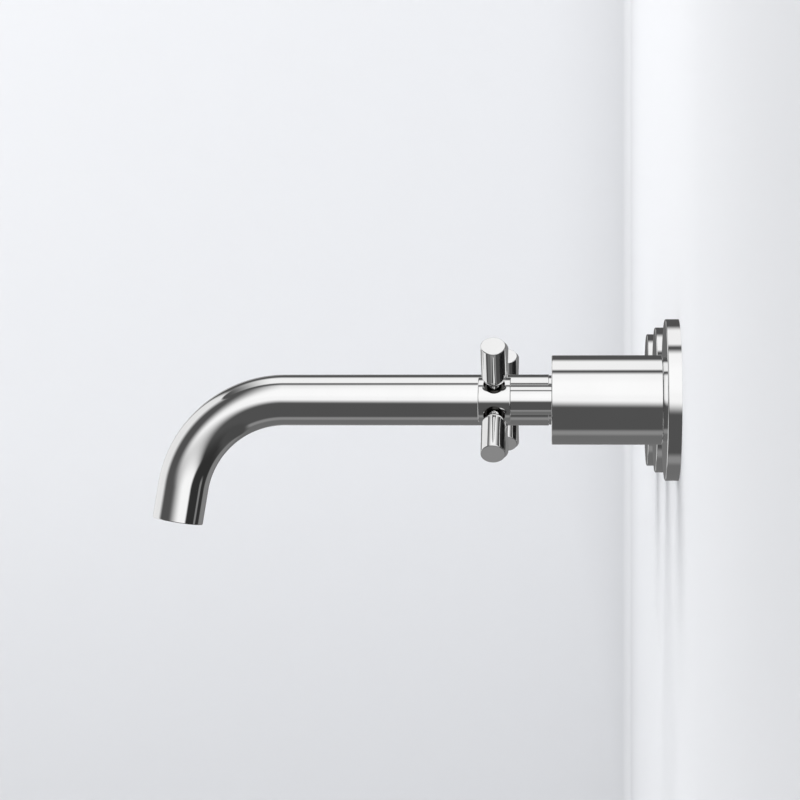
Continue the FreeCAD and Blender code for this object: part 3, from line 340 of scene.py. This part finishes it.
# Black acetal: moulded, dull and slightly waxy, with a very slight mottle.
black_acetal, tree, shader, place = new_finish("moulded_black_acetal", Roughness=0.6)
mottle = add_node(tree, "ShaderNodeTexNoise", {"Vector": place, "Scale": 900, "Detail": 2})
tone = add_node(tree, "ShaderNodeMix", {"Factor": mottle.outputs["Fac"], "A": srgb("101011"),
                                        "B": srgb("1A1A1B")}, data_type="RGBA")
tree.links.new(tone.outputs["Result"], shader.inputs["Base Color"])

guide = turn_piece("stem_guide_blank", [
    (GUIDE_BORE, GUIDE_BACK), (GUIDE_RADIUS, GUIDE_BACK), (GUIDE_RADIUS, DISC_BACK),
    (DISC_RADIUS, DISC_BACK), (DISC_RADIUS, GUIDE_FRONT), (GUIDE_BORE, GUIDE_FRONT),
], [((DISC_RADIUS, GUIDE_FRONT), GUIDE_EDGE)], steps=LARGE_STEPS)
for side, x in VALVES.items():
    twin = copy_of(guide, side + "_acetal_guide")
    set_down(twin, out_of_wall(x), black_acetal, "fixed_mixer", side + "_stem_guide")
bpy.data.objects.remove(guide)

# Handle hubs. Each is turned in one with its thinner stem and chrome plated. Four recesses round
# its side take the necks of the arms, and its face takes the screw and the index cap.

STEM_RADIUS, STEM_BACK = 5.9, 38
HUB_RADIUS, HUB_BACK, HUB_FRONT, HUB_EDGE = 8.9, 66.2, 79.2, 0.4
EXTENSION_BORE, EXTENSION_FRONT = 4.05, 62
SHANK_BORE, SCREW_SEAT, HEAD_BORE = 1.65, 70, 3.1
CAP_BORE, CAP_SEAT = 5.3, 76.9
ARM_STATION = (HUB_BACK + HUB_FRONT) / 2
ARM_ANGLES = {"1": 45, "2": 135, "3": 225, "4": 315}
NECK_RADIUS, NECK_BORE, ARM_ROOT, HOLE_END = 3, 3.05, 4.8, 4.2
RECESS_RADIUS, RECESS_FLOOR = 4.3, 7.3
DRILL_END, DRILL_STEPS = HUB_RADIUS + 2, 64

# Painted shade: the faces of the arm recesses are coloured a dark, faintly mottled grey metal.
recess_shade_finish, tree, shader, place = new_finish("recess_painted_shade", 1, Roughness=0.18)
film = add_node(tree, "ShaderNodeTexNoise", {"Vector": place, "Scale": 900, "Detail": 2})
tone = add_node(tree, "ShaderNodeMix", {"Factor": film.outputs["Fac"], "A": srgb("3C3B3A"),
                                        "B": srgb("4C4B49")}, data_type="RGBA")
tree.links.new(tone.outputs["Result"], shader.inputs["Base Color"])

# The painted shade lies on the recesses' faces: between these distances from the hub's axis, and
# this near its station.
RECESS_SHADE_IN, RECESS_SHADE_OUT, RECESS_SHADE_REACH = CAP_BORE + 0.1, HUB_RADIUS - 0.05, RECESS_RADIUS + 0.1

hub = turn_piece("hub_blank", [
    (EXTENSION_BORE, STEM_BACK), (STEM_RADIUS, STEM_BACK), (STEM_RADIUS, HUB_BACK),
    (HUB_RADIUS, HUB_BACK), (HUB_RADIUS, HUB_FRONT), (CAP_BORE, HUB_FRONT), (CAP_BORE, CAP_SEAT),
    (HEAD_BORE, CAP_SEAT), (HEAD_BORE, SCREW_SEAT), (SHANK_BORE, SCREW_SEAT),
    (SHANK_BORE, EXTENSION_FRONT), (EXTENSION_BORE, EXTENSION_FRONT),
], [((HUB_RADIUS, HUB_BACK), HUB_EDGE), ((HUB_RADIUS, HUB_FRONT), HUB_EDGE)], steps=LARGE_STEPS)
drill = turn_piece("recess_drill", [
    (0, HOLE_END), (NECK_BORE, HOLE_END), (NECK_BORE, RECESS_FLOOR), (RECESS_RADIUS, RECESS_FLOOR),
    (RECESS_RADIUS, DRILL_END), (0, DRILL_END),
], steps=DRILL_STEPS)
for angle in ARM_ANGLES.values():
    drill.matrix_world = (Matrix.Translation((0, 0, ARM_STATION * MM))
                          @ Matrix.Rotation(math.radians(angle), 4, "Z")
                          @ Matrix.Rotation(math.radians(90), 4, "Y"))
    bpy.context.view_layer.objects.active = hub
    hole = hub.modifiers.new("recess", "BOOLEAN")
    hole.object, hole.operation, hole.solver = drill, "DIFFERENCE", "EXACT"
    bpy.ops.object.modifier_apply(modifier=hole.name)
bpy.data.objects.remove(drill)
bpy.ops.object.select_all(action="DESELECT")
hub.select_set(True)
smooth()
for side, x in VALVES.items():
    twin = copy_of(hub, side + "_chrome_hub")
    set_down(twin, out_of_wall(x), chrome, side + "_handle", side + "_handle_hub")
    # Painted shade on the faces of the arm recesses.
    twin.data.materials.append(recess_shade_finish)
    for face in twin.data.polygons:
        from_axis = math.hypot(face.center.x - x, face.center.z) / MM
        from_station = abs(face.center.y / MM + ARM_STATION)
        if RECESS_SHADE_IN < from_axis < RECESS_SHADE_OUT and from_station < RECESS_SHADE_REACH:
            face.material_index = 1
bpy.data.objects.remove(hub)

# Handle arms. Plain turned bars, chrome plated: a thin neck screws into the hub, a dome leads to
# the full thickness, and the far end is flat with a small rounded edge.

ARM_RADIUS, ARM_START, ARM_REACH, ARM_EDGE = 4.9, 14.35, 29.8, 0.3
DOME_STEPS = 12

at_neck = math.asin(NECK_RADIUS / ARM_RADIUS)
turns = [at_neck + (math.pi / 2 - at_neck) * step / DOME_STEPS for step in range(DOME_STEPS + 1)]
dome = [(ARM_RADIUS * math.sin(turn), ARM_START - ARM_RADIUS * math.cos(turn)) for turn in turns]
arm = turn_piece("arm_blank", [
    (0, ARM_ROOT), (NECK_RADIUS, ARM_ROOT), *dome, (ARM_RADIUS, ARM_REACH), (0, ARM_REACH),
], [((ARM_RADIUS, ARM_REACH), ARM_EDGE)])
for side, x in VALVES.items():
    for number, angle in ARM_ANGLES.items():
        twin = copy_of(arm, side + "_chrome_arm_" + number)
        at = (Matrix.Translation((x, -ARM_STATION * MM, 0))
              @ Matrix.Rotation(math.radians(angle), 4, "Y"))
        set_down(twin, at, chrome, side + "_handle", side + "_handle_arm_" + number)
bpy.data.objects.remove(arm)

# Handle screws and index caps. A stainless socket screw holds each hub on its spindle extension.
# A chrome cap with an enamelled dot, red for hot and blue for cold, is pressed in over it.

CAP_RADIUS, CAP_EDGE = 5.2, 0.3
DOT_RADIUS, DOT_HOLE, DOT_BACK, DOT_EDGE = 1.6, 1.62, 78.6, 0.15

cap = turn_piece("cap_blank", [
    (0, CAP_SEAT), (CAP_RADIUS, CAP_SEAT), (CAP_RADIUS, HUB_FRONT), (DOT_HOLE, HUB_FRONT),
    (DOT_HOLE, DOT_BACK), (0, DOT_BACK),
], [((CAP_RADIUS, HUB_FRONT), CAP_EDGE)])
dot = turn_piece("dot_blank", [
    (0, DOT_BACK), (DOT_RADIUS, DOT_BACK), (DOT_RADIUS, HUB_FRONT), (0, HUB_FRONT),
], [((DOT_RADIUS, HUB_FRONT), DOT_EDGE)], steps=SMALL_STEPS)
for side, code, deep in (("hot", "C22A26", "A81F1F"), ("cold", "2158A6", "1A478C")):
    # Stoved enamel: glossy and even, a little deeper where it lies thicker.
    enamel, tree, shader, place = new_finish(side + "_stoved_enamel", Roughness=0.22)
    depth = add_node(tree, "ShaderNodeTexNoise", {"Vector": place, "Scale": 700, "Detail": 2})
    tone = add_node(tree, "ShaderNodeMix", {"Factor": depth.outputs["Fac"], "A": srgb(code),
                                            "B": srgb(deep)}, data_type="RGBA")
    tree.links.new(tone.outputs["Result"], shader.inputs["Base Color"])
    x, body = VALVES[side], side + "_handle"
    set_down(copy_of(cap, side + "_chrome_cap"), out_of_wall(x), chrome, body, side + "_index_cap")
    set_down(copy_of(dot, side + "_enamel_dot"), out_of_wall(x), enamel, body, side + "_index_dot")
    dress(stainless, side + "_handle_screw")
bpy.data.objects.remove(cap)
bpy.data.objects.remove(dot)

# Spout fixing. A turned brass nipple screws into the concealed body; the spout slips over its
# spigot on two rubber rings, and a small grub screw under the sleeve holds it.

dress(turned_brass, "spout_nipple")
dress(rubber, "spout_o_rings")
dress(stainless, "spout_grub_screw")

# Spout. Drawn brass tube, bent once on a mandrel and chrome plated. A narrower neck goes into the
# sleeve and leaves a thin groove in front of it; the outlet is cut square with a broken edge.

SPOUT_RADIUS, SPOUT_BORE, SPOUT_NECK, SPOUT_EDGE = 11.3, 9.6, 10.93, 0.35
NECK_BACK, SPOUT_START, BEND_START = 22.3, 51.9, 169.8
BEND_RADIUS, BEND_ANGLE, SPOUT_END = 46.6, math.radians(80.6), 15.5
MOUTH_RADIUS, MOUTH_DEPTH = 10.3, 13
BEND_STEPS, EDGE_STEPS = 72, 4


def draw_on(way, along=0.0, radius=None):
    """Extrudes the open end of a tube by a length along a way, and to another radius, in mm."""
    mesh = bmesh.from_edit_mesh(bpy.context.object.data)
    loop = [v.co.copy() for v in mesh.verts if v.select]
    centre = sum(loop, Vector()) / len(loop)
    step = way * along * MM
    bpy.ops.mesh.extrude_region_move(TRANSFORM_OT_translate={"value": step})
    if radius is not None:
        now = (loop[0] - centre).length
        bpy.ops.transform.resize(value=[radius * MM / now] * 3, center_override=centre + step)


bend_centre = Vector((0, -BEND_START * MM, -BEND_RADIUS * MM))
way_in = Vector((0, -1, 0))
way_out = Vector((0, -math.cos(BEND_ANGLE), -math.sin(BEND_ANGLE)))
quarter = [math.radians(90 * step / EDGE_STEPS) for step in range(EDGE_STEPS + 1)]
bpy.ops.object.select_all(action="DESELECT")
bpy.ops.mesh.primitive_circle_add(vertices=USUAL_STEPS, radius=SPOUT_BORE * MM,
                                  location=(0, -NECK_BACK * MM, 0),
                                  rotation=(math.radians(90), 0, 0))
spout = bpy.context.object
spout.name = spout.data.name = "spout_chrome_tube"
bpy.ops.object.transform_apply()
bpy.ops.object.mode_set(mode="EDIT")
bpy.ops.mesh.select_mode(type="VERT")
bpy.ops.mesh.select_all(action="SELECT")
draw_on(way_in, 0, SPOUT_NECK)
draw_on(way_in, SPOUT_START - NECK_BACK)
draw_on(way_in, 0, SPOUT_RADIUS - SPOUT_EDGE)
for before, turn in zip(quarter, quarter[1:]):
    draw_on(way_in, SPOUT_EDGE * (math.cos(before) - math.cos(turn)),
            SPOUT_RADIUS - SPOUT_EDGE * (1 - math.sin(turn)))
draw_on(way_in, BEND_START - SPOUT_START - SPOUT_EDGE)
bpy.ops.mesh.spin(steps=BEND_STEPS, angle=BEND_ANGLE, center=bend_centre, axis=(-1, 0, 0))
draw_on(way_out, SPOUT_END - SPOUT_EDGE)
for before, turn in zip(quarter, quarter[1:]):
    draw_on(way_out, SPOUT_EDGE * (math.sin(turn) - math.sin(before)),
            SPOUT_RADIUS - SPOUT_EDGE * (1 - math.cos(turn)))
draw_on(way_out, 0, MOUTH_RADIUS)
draw_on(way_out, -MOUTH_DEPTH)
draw_on(way_out, 0, SPOUT_BORE)
draw_on(way_out, MOUTH_DEPTH - SPOUT_END)
bpy.ops.mesh.spin(steps=BEND_STEPS, angle=BEND_ANGLE, center=bend_centre, axis=(1, 0, 0))
draw_on(way_in, NECK_BACK - BEND_START)
finish_mesh()
set_down(spout, Matrix(), chrome, "fixed_mixer", "spout_tube")

# Aerator. In the outlet, 0.8 mm back from its edge: a moulded grey acetal housing holds a white
# acetal insert with rings of holes and a steel screen, against a rubber washer.

# Grey acetal: moulded, smooth and slightly waxy, with a very slight mottle.
grey_acetal, tree, shader, place = new_finish("moulded_grey_acetal", Roughness=0.42)
mottle = add_node(tree, "ShaderNodeTexNoise", {"Vector": place, "Scale": 900, "Detail": 2})
tone = add_node(tree, "ShaderNodeMix", {"Factor": mottle.outputs["Fac"], "A": srgb("77797B"),
                                        "B": srgb("86888A")}, data_type="RGBA")
tree.links.new(tone.outputs["Result"], shader.inputs["Base Color"])

# White acetal: moulded, off-white, with a soft gloss and a very slight mottle.
white_acetal, tree, shader, place = new_finish("moulded_white_acetal", Roughness=0.38)
mottle = add_node(tree, "ShaderNodeTexNoise", {"Vector": place, "Scale": 900, "Detail": 2})
tone = add_node(tree, "ShaderNodeMix", {"Factor": mottle.outputs["Fac"], "A": srgb("DDDEDD"),
                                        "B": srgb("EBECEB")}, data_type="RGBA")
tree.links.new(tone.outputs["Result"], shader.inputs["Base Color"])

HOUSING_RADIUS, HOUSING_BORE, HOUSING_LIP, HOUSING_EDGE = 10.2, 8.4, 7.6, 0.3
HOUSING_FRONT, LIP_BACK, HOUSING_BACK = -0.8, -2.2, -11.5

outlet = (bend_centre + Vector((0, -math.sin(BEND_ANGLE), math.cos(BEND_ANGLE))) * BEND_RADIUS * MM
          + way_out * SPOUT_END * MM)
at_outlet = Matrix.Translation(outlet) @ Matrix.Rotation(math.radians(90) + BEND_ANGLE, 4, "X")
housing = turn_piece("aerator_acetal_housing", [
    (HOUSING_BORE, HOUSING_BACK), (HOUSING_RADIUS, HOUSING_BACK), (HOUSING_RADIUS, HOUSING_FRONT),
    (HOUSING_LIP, HOUSING_FRONT), (HOUSING_LIP, LIP_BACK), (HOUSING_BORE, LIP_BACK),
], [((HOUSING_RADIUS, HOUSING_FRONT), HOUSING_EDGE),
    ((HOUSING_LIP, HOUSING_FRONT), HOUSING_EDGE)])
set_down(housing, at_outlet, grey_acetal, "fixed_mixer", "aerator_housing")
dress(white_acetal, "aerator_insert")
dress(stainless, "aerator_screen")
dress(rubber, "aerator_washer")

# The room, not part of the tap: a plain pale wall that the tap stands on, a second wall across
# its far end with a rounded inner corner, and a plain pale floor.

WALL_BACK, WALL_FRONT, WALL_LOW, WALL_HIGH = -0.53, 2.2, -0.9, 1.6
INNER_RADIUS, INNER_STEPS, FAR_WALL_LENGTH, FLOOR_SIZE = 0.006, 24, 3.2, 6
# How far the painted shade changes along both walls, either way from the tap, and between which
# heights.
PAINTED_SHADE_REACH, DOWNWARD_SHADE_HIGH, DOWNWARD_SHADE_LOW = 0.6, -0.03, -0.27

# Painted plaster: nearly white and slightly cool, matt, with a fine roller texture. Painted shade
# deepens it into the corner, towards the near end and downwards.
plaster, tree, shader, place = new_finish("plaster_with_painted_shade", Roughness=0.9)
where = add_node(tree, "ShaderNodeSeparateXYZ", {"Vector": place}).outputs
along = add_node(tree, "ShaderNodeMath", {0: where["X"], 1: where["Y"]}, operation="ADD")
along = add_node(tree, "ShaderNodeMapRange", {"Value": along.outputs[0],
                                              "From Min": -PAINTED_SHADE_REACH, "From Max": PAINTED_SHADE_REACH})
corner_and_end_shade = add_node(tree, "ShaderNodeValToRGB", {"Fac": along.outputs["Result"]})
stops = corner_and_end_shade.color_ramp
stops.interpolation = "B_SPLINE"
stops.elements[0].color, stops.elements[1].color = srgb("F0F1F3"), srgb("CDCED0")
# Painted shade along the walls: darkest at the inner corner, and deeper towards the near end.
for share, code in ((0.02, "EEEFF1"), (0.04, "E8E9EB"), (0.052, "E2E3E5"), (0.058, "D6D7D9"),
                    (0.08, "DDDEE0"), (0.12, "E2E3E5"), (0.2, "E6E7E9"), (0.55, "E6E7E9"),
                    (0.7, "E1E2E4")):
    stops.elements.new(share).color = srgb(code)
# Painted shade downwards, between the two heights.
down = add_node(tree, "ShaderNodeMapRange", {"Value": where["Z"], "From Min": DOWNWARD_SHADE_HIGH,
                                             "From Max": DOWNWARD_SHADE_LOW})
downward_shade = add_node(tree, "ShaderNodeMix", {"Factor": down.outputs["Result"], "A": srgb("F0F1F3"),
                                        "B": srgb("E6E7E9")}, data_type="RGBA")
tone = add_node(tree, "ShaderNodeMix", {"Factor": 1, "A": corner_and_end_shade.outputs["Color"],
                                        "B": downward_shade.outputs["Result"]},
                data_type="RGBA", blend_type="DARKEN")
shade = add_node(tree, "ShaderNodeTexNoise", {"Vector": place, "Scale": 3, "Detail": 2})
tone = add_node(tree, "ShaderNodeMix", {"Factor": shade.outputs["Fac"],
                                        "A": tone.outputs["Result"], "B": srgb("FDFDFD")},
                data_type="RGBA", blend_type="MULTIPLY")
tree.links.new(tone.outputs["Result"], shader.inputs["Base Color"])
grain = add_node(tree, "ShaderNodeTexNoise", {"Vector": place, "Scale": 400, "Detail": 2})
bump = add_node(tree, "ShaderNodeBump", {"Height": grain.outputs["Fac"], "Strength": 0.05,
                                         "Distance": 0.1 * MM})
tree.links.new(bump.outputs["Normal"], shader.inputs["Normal"])
# Seen from behind, the walls and the floor let the eye through to the in-wall pieces.
back = add_node(tree, "ShaderNodeNewGeometry", {}).outputs["Backfacing"]
clear = add_node(tree, "ShaderNodeBsdfTransparent", {}).outputs["BSDF"]
either = add_node(tree, "ShaderNodeMixShader", {0: back, 1: shader.outputs["BSDF"], 2: clear})
tree.links.new(either.outputs["Shader"], tree.nodes["Material Output"].inputs["Surface"])

bpy.ops.object.select_all(action="DESELECT")
bpy.ops.mesh.primitive_plane_add(size=1, rotation=(math.radians(90), 0, 0))
wall = bpy.context.object
wall.name = wall.data.name = "room_walls"
wall.scale = (WALL_FRONT - WALL_BACK, WALL_HIGH - WALL_LOW, 1)
wall.location = ((WALL_FRONT + WALL_BACK) / 2, 0, (WALL_HIGH + WALL_LOW) / 2)
bpy.ops.object.transform_apply()
bpy.ops.object.mode_set(mode="EDIT")
pick(wall, "EDGE", lambda middle: abs(middle.x - WALL_BACK / MM) < SAME_CORNER)
bpy.ops.mesh.spin(steps=INNER_STEPS, angle=math.radians(-90), axis=(0, 0, 1),
                  center=(WALL_BACK, -INNER_RADIUS, 0))
bpy.ops.mesh.extrude_region_move(TRANSFORM_OT_translate={"value": (0, -FAR_WALL_LENGTH, 0)})
bpy.ops.object.mode_set(mode="OBJECT")
bpy.ops.object.shade_smooth_by_angle(angle=SMOOTH_ANGLE)
bpy.ops.object.select_all(action="DESELECT")
bpy.ops.mesh.primitive_plane_add(size=FLOOR_SIZE, location=(0, 0, WALL_LOW))
floor = bpy.context.object
floor.name = floor.data.name = "room_floor"
bpy.ops.object.transform_apply()
for piece in (wall, floor):
    piece.data.materials.append(plaster)
    piece.visible_glossy = False
# The chrome mirrors the studio in place of the walls, and nothing that they hide.
for name in ("concealed_body", "hot_nipple", "hot_cartridge_body", "hot_seat_seal",
             "spout_nipple", "cold_nipple", "cold_cartridge_body", "cold_seat_seal"):
    nodes[name].visible_glossy = False

# The light, as in a product studio. Two lamps and an even world light the matt surfaces. Chrome
# mirrors soft cards in the world instead: white overhead, towards the near end, in front and at
# the far end, grey below, and nearly black by the wall.

# The even world, and what is between the cards. A direction's climb is its angle in degrees round
# the wall's normal, from the near end up. Two edges of the near card lean by these amounts.
EVEN_LEVEL, BETWEEN_CARDS = 0.56, 0.096
CLIMB_LEAN, WALLWARD_LEAN = 33, -0.005
LAMPS = (
    {"name": "key_lamp", "place": (-0.15, -1.25, 0.95), "size": 0.9, "watts": 13.2},
    {"name": "fill_lamp", "place": (1.2, -1.2, 0.3), "size": 1.2, "watts": 8},
)

world = bpy.data.worlds.new("studio")
bpy.context.scene.world = world
world.use_nodes = True
tree = world.node_tree
tree.nodes.clear()
way = add_node(tree, "ShaderNodeTexCoord", {}).outputs["Generated"]
axes = add_node(tree, "ShaderNodeSeparateXYZ", {"Vector": way}).outputs
climb = add_node(tree, "ShaderNodeMath", {0: axes["Z"], 1: axes["X"]}, operation="ARCTAN2")
climb = add_node(tree, "ShaderNodeMath", {0: climb.outputs[0]}, operation="DEGREES").outputs[0]


def rise(value, start, end):
    """0 before start, 1 after end, with a soft step between them."""
    return add_node(tree, "ShaderNodeMapRange", {"Value": value, "From Min": start,
                                                 "From Max": end},
                    interpolation_type="SMOOTHSTEP").outputs["Result"]


def card(light, level, *limits):
    """Lays a card over the light so far. Each limit is (value, start, end) of a soft edge."""
    mask = 1.0
    for limit in limits:
        mask = add_node(tree, "ShaderNodeMath", {0: rise(*limit), 1: mask},
                        operation="MULTIPLY").outputs[0]
    return add_node(tree, "ShaderNodeMix", {"Factor": mask, "A": light, "B": level},
                    data_type="FLOAT").outputs["Result"]


# Each part of a direction, from -1 to 1: into the wall, towards the near end, and up.
wallward, near, high = axes["Y"], axes["X"], axes["Z"]
lower_edge = add_node(tree, "ShaderNodeMath", {0: wallward, 1: CLIMB_LEAN, 2: climb},
                      operation="MULTIPLY_ADD").outputs[0]
front_edge = add_node(tree, "ShaderNodeMath", {0: climb, 1: WALLWARD_LEAN, 2: wallward},
                      operation="MULTIPLY_ADD").outputs[0]
cards = (
    # Nearly black by the wall, and dark grey over the lower half of the far end.
    (0.035, (wallward, 0.16, 0.81)),
    (0.175, (near, 0.03, -0.07), (wallward, 0.81, 0.16), (high, 0.1, -0.1)),
    # Grey at the far end by the wall, and in a strip straight into the wall.
    (0.25, (near, -0.4, -0.55), (wallward, 0.2, 0.4)),
    (0.25, (near, -0.15, -0.05), (near, 0.12, 0.03), (wallward, 0.9, 0.95)),
    # A grey strip straight below, and dark beside it, by the wall and in front.
    (0.293, (climb, -108.5, -96), (climb, -79, -91), (wallward, -0.35, -0.25),
     (wallward, 0.35, 0.25)),
    (0.08, (wallward, 0.24, 0.34), (high, -0.72, -0.82)),
    (0.07, (wallward, -0.55, -0.6), (high, -0.66, -0.7)),
    # White at the far end, and in front.
    (0.9, (near, -0.79, -0.86), (wallward, 0.02, -0.6)),
    (0.935, (near, 0.33, -0.08), (wallward, -0.48, -0.6), (high, 0.8, 0.78), (high, -0.7, -0.64)),
    # White overhead.
    (1.066, (climb, 79.4, 87.4), (climb, 132.5, 114.5), (wallward, -0.57, -0.2),
     (wallward, 0.57, 0.2)),
    # White towards the near end, from level to high, with a brighter middle.
    (1.124, (lower_edge, -20.4, 0.7), (climb, 78.4, 66.6), (front_edge, -0.82, -0.34),
     (wallward, 0.72, 0.6)),
    (1.18, (lower_edge, 5, 20), (climb, 62, 40), (front_edge, -0.6, -0.2), (wallward, 0.6, 0.4)),
)
light = BETWEEN_CARDS
for level, *limits in cards:
    light = card(light, level, *limits)
mirrored = add_node(tree, "ShaderNodeBackground", {"Color": srgb("FFFFFF"), "Strength": light})
even = add_node(tree, "ShaderNodeBackground", {"Color": srgb("FBFBFC"), "Strength": EVEN_LEVEL})
glossy = add_node(tree, "ShaderNodeLightPath", {}).outputs["Is Glossy Ray"]
both = add_node(tree, "ShaderNodeMixShader", {0: glossy, 1: even.outputs["Background"],
                                              2: mirrored.outputs["Background"]})
add_node(tree, "ShaderNodeOutputWorld", {"Surface": both.outputs["Shader"]})

for settings in LAMPS:
    lamp = bpy.data.lights.new(settings["name"], "AREA")
    lamp.size, lamp.energy = settings["size"], settings["watts"]
    lamp_object = bpy.data.objects.new(settings["name"], lamp)
    bpy.context.collection.objects.link(lamp_object)
    lamp_object.location = settings["place"]
    lamp_object.rotation_euler = (-lamp_object.location).to_track_quat("-Z", "Y").to_euler()
    lamp_object.visible_glossy = False

# The camera. It stands level with the spout and looks almost along the wall. Its place, turn and
# lens make the rims of the three wall plates fall where the photograph has them.

CAMERA_PLACE, CAMERA_TURN = (0.97593, -0.04396, 0), math.radians(4.3477)
SENSOR_WIDTH, LENS = 36, 98.81

view = bpy.data.cameras.new("photo_camera")
view.sensor_width, view.lens = SENSOR_WIDTH, LENS
camera = bpy.data.objects.new("photo_camera", view)
bpy.context.collection.objects.link(camera)
camera.location = CAMERA_PLACE
camera.rotation_euler = (math.radians(90), 0, math.radians(90) + CAMERA_TURN)
bpy.context.scene.camera = camera
bpy.context.scene.view_settings.view_transform = "Standard"
